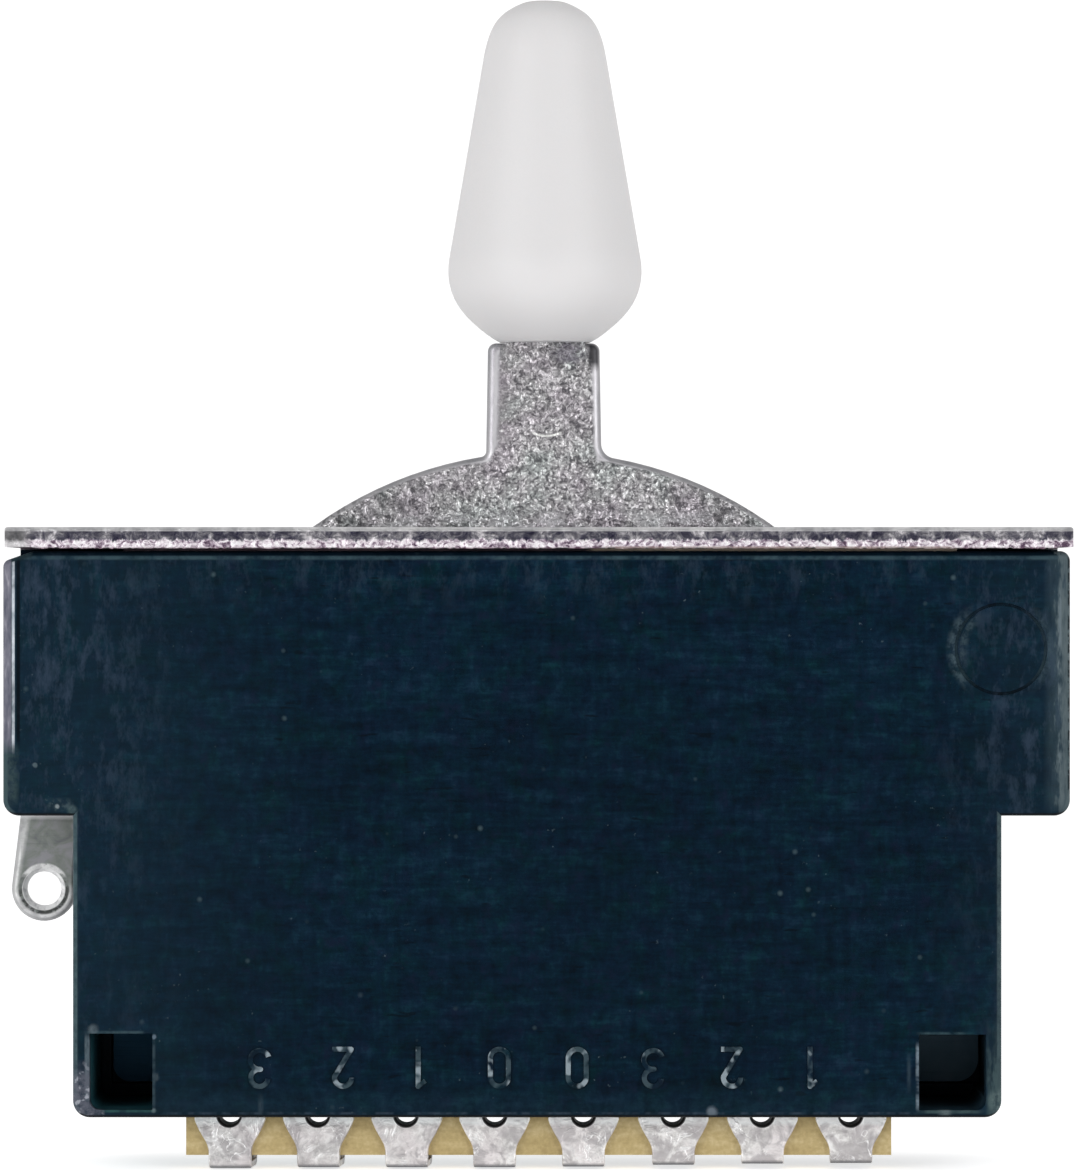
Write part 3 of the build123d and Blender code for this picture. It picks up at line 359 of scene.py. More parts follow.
    # the wall's inner face, seen through the windows, gets painted shade: near black at the top, dark blue lower down
    box_side = m.math("MAXIMUM", m.range(m.x, -23.5, -23.3), m.range(m.z, -14.4, -14.2))
    inner = m.math("MULTIPLY", m.range(m.y, 4.32, 4.28), box_side)
    inner = m.math("MULTIPLY", m.math("MULTIPLY", inner, m.range(m.y, 3.9, 4.1)), m.range(m.z, -1.02, -1.1))
    face = m.mix(m.math("MULTIPLY", inner, m.range(m.z, -3.2, -2.2)), face, (0.004, 0.008, 0.014))
    inner = m.math("MULTIPLY", inner, m.range(m.z, -2.2, -3.2))
    face = m.mix(inner, face, m.mix(m.range(m.x, -5.0, 5.0), m.ramp(mott, [(0.35, (0.030, 0.105, 0.185)), (0.65, (0.055, 0.145, 0.245))]), m.ramp(mott, [(0.35, (0.085, 0.155, 0.215)), (0.65, (0.14, 0.22, 0.29))])))
    face = m.mix(m.math("MULTIPLY", plate_underside_painted_shade, 0.92), face, (0.085, 0.030, 0.060))
    face = m.mix(lip_painted_highlight, face, m.ramp(blot, [(0.35, (0.62, 0.62, 0.64)), (0.6, (1.0, 0.99, 1.0))]))
    colour = m.mix(is_cut, face, cut)
    bend = m.math("MULTIPLY", m.range(m.math("ABSOLUTE", m.ny), 0.97, 0.85), m.math("MULTIPLY", eye_zone, m.range(er, 1.13, 1.2)))
    colour = m.mix(m.math("MULTIPLY", bend, 0.7), colour, (0.40, 0.40, 0.41))
    colour = m.mix(m.math("MULTIPLY", lip_painted_highlight, 0.8), colour, m.ramp(blot, [(0.35, (0.62, 0.62, 0.64)), (0.6, (1.0, 0.99, 1.0))]))
    h_face = m.math("ADD", m.math("MULTIPLY", roll, 0.8), m.math("MULTIPLY", sand, 0.35))
    h_face = m.math("SUBTRACT", h_face, m.math("MULTIPLY", scr, 0.25))
    h_cut = m.fmix(torn, m.math("MULTIPLY", streak, 3.0), m.math("MULTIPLY", tear, 8.0))
    rough = m.fmix(is_cut, m.range(mott, 0.3, 0.7, 0.3, 0.42), m.fmix(torn, 0.3, 0.45))
    rough = m.fmix(inner, rough, 0.6)
    rough = m.fmix(eye_zone, rough, 0.52)
    matt = m.math("MAXIMUM", ring, m.math("MAXIMUM", m.math("MULTIPLY", eye_rim_painted_highlight, 0.9), plate_underside_painted_shade))
    m.set(Base_Color=colour, Metallic=m.fmix(matt, 1.0, 0.15), Roughness=rough,
          Normal=m.bump(m.fmix(is_cut, h_face, h_cut), 1.0, 0.012))
    return m.mat


def make_black_plastic():
    m = Tree("blue_black_moulding")
    front = m.range(m.ny, -0.8, -0.97)
    near_front = m.range(m.y, -4.3, -4.6)
    # brushed-looking face: long fine wipes, shorter marks, cloudy hue
    wipe = m.noise(1.5, 4.0, 0.70, stretch=(0.14, 1.0, 1.0), dist=0.2)
    wipe2 = m.noise(4.2, 3.0, 0.7, stretch=(0.14, 1.0, 1.0), offset=(11.0, 0.0, 4.0))
    mottle = m.noise(1.25, 4.0, 0.72, dist=0.2, offset=(6.0, 1.0, 2.0))
    up = m.noise(2.6, 3.0, 0.7, stretch=(1.0, 1.0, 0.16), offset=(1.0, 7.0, 2.0))
    corner = m.math("MULTIPLY", m.range(m.x, -20.0, -25.0), m.range(m.z, -9.0, -3.0))
    marks = m.math("ADD", m.math("MULTIPLY", wipe, 0.32), m.math("MULTIPLY", wipe2, 0.14))
    marks = m.math("ADD", marks, m.math("MULTIPLY", mottle, 0.40))
    marks = m.math("ADD", marks, m.math("MULTIPLY", up, 0.14))
    marks = m.fmix(m.math("MULTIPLY", corner, 0.6), marks, up)
    base = m.ramp(marks, [(0.38, (0.0003, 0.0042, 0.0098)), (0.47, (0.0005, 0.0080, 0.0178)),
                          (0.53, (0.0010, 0.0114, 0.0240)), (0.62, (0.0040, 0.0225, 0.0400))])
    hue = m.noise(0.62, 4.0, 0.68, dist=0.3)
    base = m.mix(1.0, base, m.ramp(hue, [(0.32, (0.50, 1.14, 0.84)), (0.45, (0.85, 1.04, 0.97)),
                                        (0.55, (1.15, 0.97, 1.04)), (0.68, (1.8, 0.90, 1.06))]), "MULTIPLY")
    base = m.mix(m.range(m.noise(1.1, 3.0, 0.68, offset=(3.0, 3.0, 3.0)), 0.56, 0.72, 0.0, 0.7), base, (0.0040, 0.0090, 0.0250))
    dash = m.noise(1.8, 2.0, 0.6, stretch=(0.30, 1.0, 1.5), offset=(9.0, 2.0, 4.0))
    base = m.mix(m.range(dash, 0.31, 0.25, 0.0, 0.7), base, (0.0003, 0.0030, 0.0065))
    cloud = m.noise(0.075, 3.0, 0.5)
    base = m.mix(1.0, base, m.ramp(cloud, [(0.35, (0.8, 0.86, 0.88)), (0.65, (1.25, 1.15, 1.13))]), "MULTIPLY")
    # lighter towards both ends: painted light
    side = m.range(m.x, -26.0, -8.0, 1.0, 0.0, smooth=True)
    rside = m.range(m.x, 19.0, 26.0, 0.0, 1.0, smooth=True)
    end_painted_light = m.math("ADD", m.math("MULTIPLY", side, 0.75), m.math("MULTIPLY", rside, 0.6))
    base = m.mix(m.math("MULTIPLY", end_painted_light, 0.36), base, (0.0120, 0.0330, 0.0500))
    # dust specks and short scuffs
    # pale upright smears towards the ends and under the plate
    smear = m.noise(1.2, 4.0, 0.75, stretch=(1.0, 1.0, 0.42), offset=(2.0, 3.0, 8.0))
    ends = m.math("MAXIMUM", m.range(m.x, -17.0, -23.0), m.range(m.x, 19.0, 24.5))
    ends = m.math("MAXIMUM", m.math("MULTIPLY", ends, m.range(m.z, -22.0, -10.0, 0.35, 1.0)), m.range(m.z, -4.5, -2.2, 0.0, 0.55))
    base = m.mix(m.math("MULTIPLY", m.math("MULTIPLY", m.range(smear, 0.50, 0.66), ends), 0.9), base, (0.023, 0.040, 0.066))
    foot = m.math("MULTIPLY", m.range(m.z, -27.6, -29.0), m.range(mottle, 0.35, 0.65, 0.1, 0.35))
    base = m.mix(foot, base, (0.012, 0.034, 0.052))
    fleck = m.voronoi(0.62)
    fleck = m.math("MULTIPLY", m.range(fleck, 0.11, 0.02), m.range(m.noise(0.45, 1.0), 0.50, 0.62))
    base = m.mix(m.math("MULTIPLY", fleck, 0.36), base, (0.11, 0.17, 0.19))
    motes = m.noise(3.6, 2.0, 0.6, offset=(12.0, 3.0, 5.0))
    motes = m.math("MULTIPLY", m.range(motes, 0.70, 0.78), m.range(m.noise(0.3, 2.0), 0.5, 0.62))
    base = m.mix(m.math("MULTIPLY", motes, 0.5), base, (0.085, 0.125, 0.145))
    # the outline of the front face: painted light on the left and right fillets, painted shade on the fillet facing up
    # under the plate, and a painted highlight along the top edge
    rub = m.noise(2.2, 4.0, 0.7)
    rub_v = m.noise(2.4, 3.0, 0.7, stretch=(1.0, 1.0, 0.25))
    edge = m.math("MULTIPLY", m.range(m.ny, -0.975, -0.9), m.range(m.ny, -0.15, -0.35))
    edge = m.math("MULTIPLY", edge, near_front)
    top_fillet_painted_shade = m.math("MULTIPLY", edge, m.range(m.nz, 0.1, 0.4))
    base = m.mix(m.math("MULTIPLY", top_fillet_painted_shade, m.range(m.z, -2.0, -1.0, 0.3, 0.9)), base, (0.0012, 0.0040, 0.0070))
    # a painted highlight line just below the top edge
    crown_painted_highlight = m.math("MULTIPLY", m.math("MULTIPLY", m.range(m.z, -1.68, -1.58), m.range(m.z, -1.40, -1.48)), front)
    crown_painted_highlight = m.math("MULTIPLY", crown_painted_highlight, m.range(m.noise(0.8, 4.0, 0.7, offset=(4.0, 4.0, 4.0)), 0.38, 0.60, 0.15, 0.95))
    base = m.mix(crown_painted_highlight, base, (0.036, 0.068, 0.084))
    right_fillet_painted_light = m.math("MULTIPLY", edge, m.range(m.nx, 0.1, 0.4))
    base = m.mix(m.math("MULTIPLY", right_fillet_painted_light, m.range(rub, 0.3, 0.6, 0.3, 0.9)), base, (0.060, 0.095, 0.105))
    left_fillet_painted_light = m.math("MULTIPLY", edge, m.range(m.nx, -0.1, -0.4))
    base = m.mix(m.math("MULTIPLY", left_fillet_painted_light, m.range(rub, 0.3, 0.6, 0.4, 0.95)), base, (0.062, 0.105, 0.118))
    # the upper left edge: a painted light strip on the fillet, a painted highlight line beside it and a line of painted
    # shade inside that
    tall = m.math("MULTIPLY", m.range(m.z, -11.4, -10.5), m.range(m.z, -1.5, -1.75))
    left_strip_painted_light = m.math("MULTIPLY", m.math("MULTIPLY", m.range(m.x, -26.36, -26.42), near_front), tall)
    base = m.mix(left_strip_painted_light, base, m.ramp(rub_v, [(0.3, (0.085, 0.09, 0.125)), (0.55, (0.18, 0.18, 0.225)), (0.7, (0.36, 0.35, 0.40))]))
    line = m.math("MULTIPLY", m.range(m.x, -26.38, -26.34), m.range(m.x, -26.20, -26.24))
    line = m.math("MULTIPLY", line, m.range(m.noise(1.3, 3.0, 0.7, stretch=(1.0, 1.0, 0.6)), 0.36, 0.55, 0.45, 1.0))
    line = m.math("MULTIPLY", m.math("MULTIPLY", line, tall), m.range(m.ny, -0.8, -0.9))
    base = m.mix(line, base, m.ramp(rub_v, [(0.35, (0.34, 0.40, 0.46)), (0.6, (0.62, 0.66, 0.72))]))
    dark = m.math("MULTIPLY", m.range(m.x, -26.16, -26.11), m.range(m.x, -25.92, -25.98))
    dark = m.math("MULTIPLY", m.math("MULTIPLY", dark, tall), m.range(m.ny, -0.8, -0.9))
    base = m.mix(m.math("MULTIPLY", dark, 0.8), base, (0.0008, 0.0022, 0.004))
    # right shoulder: a painted light band with a broken painted highlight line, and dark specks
    rband = m.math("MULTIPLY", m.range(m.x, 25.2, 26.05), m.range(m.z, -14.6, -13.6))
    base = m.mix(m.math("MULTIPLY", m.math("MULTIPLY", rband, front), m.range(rub_v, 0.3, 0.65, 0.30, 0.85)), base, (0.046, 0.075, 0.092))
    rag = m.math("MULTIPLY", m.math("SUBTRACT", rub_v, 0.5), 1.6)
    rskin = m.math("MULTIPLY", m.math("MULTIPLY", m.range(m.math("ADD", m.x, rag), 25.85, 26.1), near_front), m.range(m.z, -14.6, -13.6))
    base = m.mix(m.math("MULTIPLY", rskin, m.range(rub_v, 0.34, 0.62, 0.25, 1.0)), base, (0.092, 0.122, 0.134))
    dots = m.math("MULTIPLY", m.range(m.x, 26.42, 26.48), m.range(m.noise(2.6, 2.0, 0.6, stretch=(0.4, 1.0, 1.0)), 0.44, 0.54))
    base = m.mix(m.math("MULTIPLY", m.math("MULTIPLY", dots, near_front), m.range(m.z, -14.0, -13.4)), base, (0.004, 0.010, 0.014))
    rline = m.math("MULTIPLY", m.range(m.x, 25.93, 25.99), m.range(m.x, 26.15, 26.09))
    rline = m.math("MULTIPLY", m.math("MULTIPLY", rline, m.range(m.z, -12.0, -11.2)), m.range(m.z, -2.8, -3.6))
    rline = m.math("MULTIPLY", m.math("MULTIPLY", rline, front), m.range(rub_v, 0.46, 0.6))
    base = m.mix(m.math("MULTIPLY", rline, 0.5), base, (0.15, 0.19, 0.22))
    # painted highlights on the rims of the two windows and round the left shoulder, each side its own
    def bar(x0, x1, z0, z1, soft=0.07, ends=0.3):
        u = m.math("MULTIPLY", m.range(m.x, x0 - soft, x0 + 0.02), m.range(m.x, x1 + soft, x1 - 0.02))
        v = m.math("MULTIPLY", m.range(m.z, z0 - ends, z0 + ends * 0.3), m.range(m.z, z1 + ends, z1 - ends * 0.3))
        return m.math("MULTIPLY", m.math("MULTIPLY", u, v), near_front)

    def shelf(x0, x1, z0, z1, soft=0.06, ends=0.5):
        u = m.math("MULTIPLY", m.range(m.x, x0 - ends, x0 + ends * 0.3), m.range(m.x, x1 + ends, x1 - ends * 0.3))
        v = m.math("MULTIPLY", m.range(m.z, z0 - soft, z0 + 0.02), m.range(m.z, z1 + soft, z1 - 0.02))
        return m.math("MULTIPLY", m.math("MULTIPLY", u, v), near_front)

    def spot(x0, z0, r):
        u = m.math("SUBTRACT", m.x, x0)
        v = m.math("SUBTRACT", m.z, z0)
        d = m.math("SQRT", m.math("ADD", m.math("MULTIPLY", u, u), m.math("MULTIPLY", v, v)))
        return m.math("MULTIPLY", m.range(m.math("ADD", d, m.math("MULTIPLY", m.math("SUBTRACT", rub, 0.5), 0.25)), r, r * 0.3, smooth=True), near_front)
    dots_v = m.noise(1.9, 2.0, 0.6, stretch=(0.5, 1.0, 1.0), offset=(2.0, 0.0, 1.0))
    dots_h = m.noise(1.6, 2.0, 0.6, stretch=(1.0, 1.0, 0.5), offset=(8.0, 0.0, 1.0))
    for mask, wear, lo, hi, colour in (
            (bar(-27.0, -26.2, -13.6, -11.2, 0.25, 0.5), rub, 0.1, 0.75, (0.038, 0.066, 0.070)),
            (spot(-25.2, -11.9, 0.15), rub, 0.6, 0.9, (0.100, 0.145, 0.165)),
            (spot(-24.1, -13.98, 0.14), rub, 0.6, 0.95, (0.280, 0.330, 0.350)),
            (spot(-23.35, -14.15, 0.34), rub, 0.3, 0.9, (0.062, 0.100, 0.104)),
            (bar(-22.68, -22.48, -28.5, -25.6), rub_v, 0.35, 0.9, (0.115, 0.155, 0.180)),
            (shelf(-22.4, -19.9, -25.33, -25.22), dots_h, 0.1, 0.9, (0.036, 0.066, 0.080)),
            (spot(-22.3, -25.12, 0.36), rub, 0.3, 0.85, (0.090, 0.120, 0.140)),
            (bar(-19.33, -19.22, -28.9, -25.8), dots_v, 0.2, 0.9, (0.030, 0.052, 0.066)),
            (spot(-19.22, -27.5, 0.30), rub_v, 0.1, 0.7, (0.058, 0.080, 0.094)),
            (spot(-19.25, -25.5, 0.17), rub, 0.5, 1.0, (0.130, 0.180, 0.230)),
            (spot(-19.28, -29.18, 0.17), rub, 0.5, 1.0, (0.120, 0.160, 0.180)),
            (shelf(-21.6, -19.5, -29.25, -29.15), dots_h, 0.3, 1.0, (0.024, 0.074, 0.074)),
            (bar(18.88, 19.0, -29.0, -26.0), dots_v, 0.08, 1.0, (0.150, 0.195, 0.235)),
            (bar(18.46, 18.54, -27.8, -26.8, 0.10, 0.6), rub_v, 0.1, 0.6, (0.034, 0.058, 0.078)),
            (shelf(19.3, 21.3, -25.38, -25.28), dots_h, 0.1, 0.9, (0.032, 0.062, 0.074)),
            (shelf(19.3, 21.9, -29.31, -29.17), dots_h, 0.2, 0.9, (0.046, 0.080, 0.086)),
            (spot(20.3, -29.26, 0.45), rub, 0.4, 0.9, (0.105, 0.140, 0.150)),
            (bar(22.50, 23.4, -29.6, -26.6, 0.20, 2.2), rub_v, 0.20, 1.0, (0.044, 0.074, 0.082)),
            (spot(23.0, -28.7, 0.75), rub, 0.1, 1.0, (0.105, 0.150, 0.152))):
        base = m.mix(m.math("MULTIPLY", mask, m.range(wear, 0.38, 0.58, lo, hi)), base, colour)
    # lower left corner, scuffed grey with bright flecks
    lcorner = m.math("MULTIPLY", m.range(m.x, -22.35, -22.55), m.range(m.z, -26.6, -27.8))
    lcorner = m.math("MULTIPLY", m.math("MAXIMUM", lcorner, shelf(-23.4, -22.0, -29.5, -28.8, 0.1, 0.3)), near_front)
    base = m.mix(m.math("MULTIPLY", lcorner, m.range(rub, 0.38, 0.58, 0.25, 0.95)), base, (0.110, 0.118, 0.150))
    chips = m.range(m.noise(2.3, 2.0, 0.6, offset=(5.0, 5.0, 1.0)), 0.56, 0.64)
    base = m.mix(m.math("MULTIPLY", m.math("MULTIPLY", lcorner, chips), 0.9), base, (0.33, 0.35, 0.40))
    # scuffs along the lower edge, and one under the left-hand shoulder
    base = m.mix(m.math("MULTIPLY", shelf(-18.5, 18.5, -29.36, -29.28, 0.05), m.range(dots_h, 0.42, 0.60, 0.0, 0.65)), base, (0.036, 0.056, 0.082))
    base = m.mix(m.math("MULTIPLY", bar(-13.95, -13.89, -29.25, -28.7, 0.14, 0.4), m.range(rub_v, 0.35, 0.55, 0.3, 0.8)), base, (0.044, 0.068, 0.088))
    base = m.mix(m.math("MULTIPLY", spot(8.65, -29.25, 0.38), 0.85), base, (0.130, 0.165, 0.200))
    base = m.mix(m.math("MULTIPLY", shelf(-24.4, -23.6, -14.0, -13.8, 0.3, 0.4), m.range(rub, 0.46, 0.64, 0.1, 0.9)), base, (0.062, 0.095, 0.108))
    # the numbers stand 0.1 mm proud; their tops get patches of painted light and small painted highlights
    proud = m.range(m.y, -5.05, -5.09)
    worn = m.range(m.noise(1.5, 2.0, 0.55, offset=(4.0, 0.0, 9.0)), 0.42, 0.60, 0.03, 0.55)
    base = m.mix(m.math("MULTIPLY", proud, worn), base, (0.075, 0.115, 0.135))
    bright = m.range(m.noise(1.7, 1.0, 0.5, offset=(1.0, 6.0, 2.0)), 0.54, 0.66)
    base = m.mix(m.math("MULTIPLY", m.math("MULTIPLY", proud, bright), 0.9), base, (0.27, 0.33, 0.37))
    # the round mark: painted shade in its groove at top and bottom, painted highlights on its rim left and right and on
    # a halo outside it
    dx = m.math("SUBTRACT", m.x, 23.1)
    dz = m.math("SUBTRACT", m.z, -6.1)
    rr = m.math("SQRT", m.math("ADD", m.math("MULTIPLY", dx, dx), m.math("MULTIPLY", dz, dz)))
    groove = m.math("MULTIPLY", m.range(rr, 2.14, 2.17), m.range(rr, 2.34, 2.31))
    groove = m.math("MULTIPLY", groove, m.math("MULTIPLY", m.range(m.y, -4.99, -4.93), near_front))
    base = m.mix(m.math("MULTIPLY", groove, m.math("MULTIPLY", m.range(rub, 0.35, 0.6, 0.35, 1.0), m.range(m.math("ABSOLUTE", dz), 1.2, 2.0, 0.0, 0.75))), base, (0.0006, 0.0025, 0.0045))
    base = m.mix(m.math("MULTIPLY", groove, m.math("MULTIPLY", m.range(rub, 0.35, 0.6, 0.3, 1.0), m.range(m.math("ABSOLUTE", dz), 1.9, 1.1, 0.0, 0.95))), base, (0.026, 0.050, 0.064))
    halo = m.math("MULTIPLY", m.range(rr, 2.30, 2.34), m.range(rr, 2.80, 2.42))
    halo = m.math("MULTIPLY", m.math("MULTIPLY", halo, front), m.range(m.math("ABSOLUTE", dx), 1.3, 2.1))
    halo = m.math("MULTIPLY", halo, m.range(dx, 0.0, 1.0, 1.0, 0.6))
    base = m.mix(m.math("MULTIPLY", halo, m.range(rub, 0.42, 0.60, 0.1, 0.9)), base, (0.050, 0.080, 0.098))
    swipe = m.math("MULTIPLY", m.range(rr, 1.60, 1.85), m.range(rr, 2.14, 2.04))
    swipe = m.math("MULTIPLY", m.math("MULTIPLY", swipe, front), m.math("MULTIPLY", m.range(dx, -0.9, -1.5), m.range(dz, -0.9, -0.3)))
    base = m.mix(m.math("MULTIPLY", swipe, m.range(rub, 0.42, 0.60, 0.1, 0.8)), base, (0.036, 0.060, 0.074))
    # undersides get painted shade
    under = m.math("MULTIPLY", m.range(m.nz, -0.55, -0.72), m.range(m.z, -14.0, -14.1))
    base = m.mix(m.math("MULTIPLY", under, 0.92), base, (0.0008, 0.0022, 0.0036))
    # the inner walls seen through the windows are painted lighter: painted light in a shaded well
    inside = m.math("MULTIPLY", m.range(m.y, -4.3, -3.9), m.range(m.y, 3.6, 3.0))
    inside = m.math("MULTIPLY", inside, m.math("MULTIPLY", m.range(m.z, -23.0, -24.5), m.range(m.math("ABSOLUTE", m.x), 23.0, 22.8)))
    deep = m.mix(m.range(m.x, -5.0, 5.0), (0.026, 0.105, 0.130), (0.022, 0.046, 0.066))
    base = m.mix(m.math("MULTIPLY", inside, m.range(mottle, 0.3, 0.7, 0.7, 1.0)), base, deep)
    grain = m.noise(11.0, 2.0, 0.6)
    h = m.math("ADD", m.math("MULTIPLY", wipe, 1.0), m.math("MULTIPLY", wipe2, 0.7))
    h = m.math("ADD", m.math("MULTIPLY", h, front), m.math("MULTIPLY", grain, 0.35))
    m.set(Base_Color=base, Roughness=m.range(wipe2, 0.3, 0.7, 0.30, 0.42), Normal=m.bump(h, 0.5, 0.010))
    m.bsdf.inputs["Specular IOR Level"].default_value = 0.06
    return m.mat


def make_board():
    m = Tree("tan_phenolic_board")
    fibre = m.noise(1.4, 4.0, 0.65, stretch=(0.25, 1.0, 1.0))
    weave = m.noise(5.0, 2.0, 0.6)
    base = m.ramp(m.math("ADD", m.math("MULTIPLY", fibre, 0.6), m.math("MULTIPLY", weave, 0.4)),
                  [(0.32, srgb(172, 151, 102)), (0.5, srgb(192, 171, 121)), (0.7, srgb(213, 195, 150))])
    # painted shade in rings round the wire holes and on the top edge left of the middle, and painted light along the
    # top edge
    near_hole = None
    for hx in (-15.56, -11.12, -6.68, -2.23, 2.23, 6.74, 11.21, 15.65):
        ax = m.math("SUBTRACT", m.x, hx)
        az = m.math("ADD", m.z, 29.51)
        r = m.math("SQRT", m.math("ADD", m.math("MULTIPLY", ax, ax), m.math("MULTIPLY", az, az)))
        near_hole = r if near_hole is None else m.math("MINIMUM", near_hole, r)
    base = m.mix(m.range(near_hole, 0.74, 0.62), base, (0.012, 0.010, 0.009))
    stain = m.math("MULTIPLY", m.range(m.z, -2.6, -1.9), m.range(m.math("ADD", m.x, m.math("MULTIPLY", fibre, 1.5)), 3.4, 2.9))
    rim = m.range(m.z, -2.3, -1.7)
    base = m.mix(m.math("MULTIPLY", rim, 0.85), base, m.mix(m.range(fibre, 0.35, 0.65), (0.86, 0.68, 0.55), (1.0, 0.86, 0.74)))
    base = m.mix(m.math("MULTIPLY", stain, 0.96), base, m.mix(m.range(fibre, 0.42, 0.62), (0.055, 0.036, 0.060), (0.20, 0.13, 0.17)))
    m.set(Base_Color=base, Roughness=m.range(weave, 0.3, 0.7, 0.4, 0.55), Normal=m.bump(fibre, 0.6, 0.01))
    m.bsdf.inputs["Specular IOR Level"].default_value = 0.35
    return m.mat


def make_tin():
    m = Tree("tinned_strip")
    crease = m.noise(0.75, 3.0, 0.6, dist=1.7)
    # thin bright lines along the creases: painted highlights
    line = m.math("ABSOLUTE", m.math("SUBTRACT", m.noise(0.95, 2.0, 0.55, dist=1.2, offset=(3.0, 1.0, 6.0)), 0.5))
    line = m.range(line, 0.028, 0.0)
    pick = m.range(m.noise(0.6, 1.0, 0.5, offset=(8.0, 2.0, 3.0)), 0.47, 0.58)
    line = m.math("MULTIPLY", line, pick)
    fine = m.noise(5.0, 3.0, 0.6)
    base = m.ramp(m.math("ADD", m.math("MULTIPLY", crease, 0.6), m.math("MULTIPLY", fine, 0.4)),
                  [(0.38, (0.58, 0.565, 0.56)), (0.5, (0.80, 0.785, 0.775)), (0.60, (1.0, 0.99, 0.98))])
    base = m.mix(m.range(m.noise(0.5, 2.0), 0.42, 0.64, 0.0, 0.7), base, (0.88, 0.82, 0.83))
    patch = m.noise(0.85, 3.0, 0.6, dist=0.8, offset=(1.0, 8.0, 4.0))
    base = m.mix(m.range(patch, 0.53, 0.41, 0.0, 0.75), base, (0.47, 0.445, 0.455))
    # the top band under the housing gets a painted highlight
    base = m.mix(m.math("MULTIPLY", m.range(m.z, -30.1, -29.85), m.range(patch, 0.34, 0.5, 0.45, 1.0)), base, (0.97, 1.0, 1.0))
    base = m.mix(1.0, base, m.mix(m.range(m.x, -14.0, -2.0), (0.90, 0.90, 0.905), (1.05, 1.045, 1.045)), "MULTIPLY")
    base = m.mix(m.math("MULTIPLY", line, 0.85), base, (1.0, 1.0, 1.0))
    # painted shade in rings round the wire holes
    ring = None
    for hx in (-15.56, -11.12, -6.68, -2.23, 2.23, 6.74, 11.21, 15.65):
        ax = m.math("SUBTRACT", m.x, hx)
        az = m.math("ADD", m.z, 29.51)
        r = m.math("SQRT", m.math("ADD", m.math("MULTIPLY", ax, ax), m.math("MULTIPLY", az, az)))
        ring = r if ring is None else m.math("MINIMUM", ring, r)
    base = m.mix(m.range(ring, 0.67, 0.63), base, (0.05, 0.05, 0.055))
    # the fold's underside turns away and gets painted shade
    under = m.range(m.nz, -0.45, -0.85)
    base = m.mix(under, base, (0.20, 0.20, 0.21))
    back = m.range(m.y, -2.6, -2.2)
    base = m.mix(m.math("MULTIPLY", back, 0.35), base, (0.42, 0.42, 0.43))
    h = m.math("ADD", m.math("MULTIPLY", crease, 3.0), m.math("MULTIPLY", fine, 0.5))
    h = m.math("ADD", h, m.math("MULTIPLY", line, 0.5))
    m.set(Base_Color=base, Metallic=m.fmix(back, 0.5, 0.9), Roughness=m.range(fine, 0.3, 0.7, 0.30, 0.42), Normal=m.bump(h, 1.0, 0.035))
    return m.mat


def make_turned(name, dark, light, scale=2.5):
    m = Tree(name)
    a = m.noise(scale, 3.0, 0.6, dist=0.5)
    b = m.noise(scale * 4, 2.0, 0.6)
    base = m.ramp(a, [(0.3, dark), (0.7, light)])
    m.set(Base_Color=base, Metallic=1.0, Roughness=m.range(b, 0.3, 0.7, 0.26, 0.4), Normal=m.bump(b, 0.8, 0.006))
    return m.mat


def make_plain_plastic(name, dark, light):
    m = Tree(name)
    a = m.noise(0.8, 3.0, 0.6)
    b = m.noise(8.0, 2.0, 0.6)
    m.set(Base_Color=m.ramp(a, [(0.3, dark), (0.7, light)]), Roughness=m.range(b, 0.3, 0.7, 0.45, 0.6),
          Normal=m.bump(b, 0.6, 0.006))
    return m.mat


MATS = {
    "white": make_white_plastic(),
    "lever": make_lever_steel(),
    "frame": make_frame_steel(),
    "black": make_black_plastic(),
    "board": make_board(),
    "tin": make_tin(),
    "rivet": make_turned("plated_rivet_steel", (0.42, 0.42, 0.43), (0.62, 0.62, 0.63)),
    "thread": make_turned("cut_thread_steel", (0.50, 0.49, 0.49), (0.78, 0.77, 0.77), 3.5),
    "spacer": make_turned("turned_spacer_steel", (0.36, 0.36, 0.37), (0.52, 0.52, 0.53)),
    "bronze": make_turned("spring_bronze", (0.50, 0.31, 0.16), (0.70, 0.47, 0.27)),
    "spring": make_turned("blued_spring_steel", (0.14, 0.15, 0.18), (0.28, 0.30, 0.34)),
    "track": make_turned("plated_track", (0.60, 0.57, 0.47), (0.80, 0.77, 0.68)),
    "carrier": make_plain_plastic("natural_moulding", srgb(196, 186, 160), srgb(214, 206, 184)),
}
USES = {
    "mounting_frame": "frame", "housing": "black", "circuit_board": "board", "contact_tracks": "track",
    "lever": "lever", "lever_tip": "white", "pivot_rivet": "rivet", "front_washer": "rivet",
    "rear_washer": "rivet", "pivot_spacer": "spacer", "contact_carrier": "carrier", "carrier_rivets": "rivet",
    "contact_spring_left": "bronze", "contact_spring_right": "bronze", "detent_spring": "spring",
    "spring_pins": "rivet",
}
for name, node in NODES.items():
    use = USES.get(name, "tin")
    node.data.materials.clear()
    node.data.materials.append(MATS[use])

# ------------------------------------------------------------------- threads
# The two screw holes are tapped: a ridge of triangular section winds down each
# bore, with a tapered start at both faces of the plate.

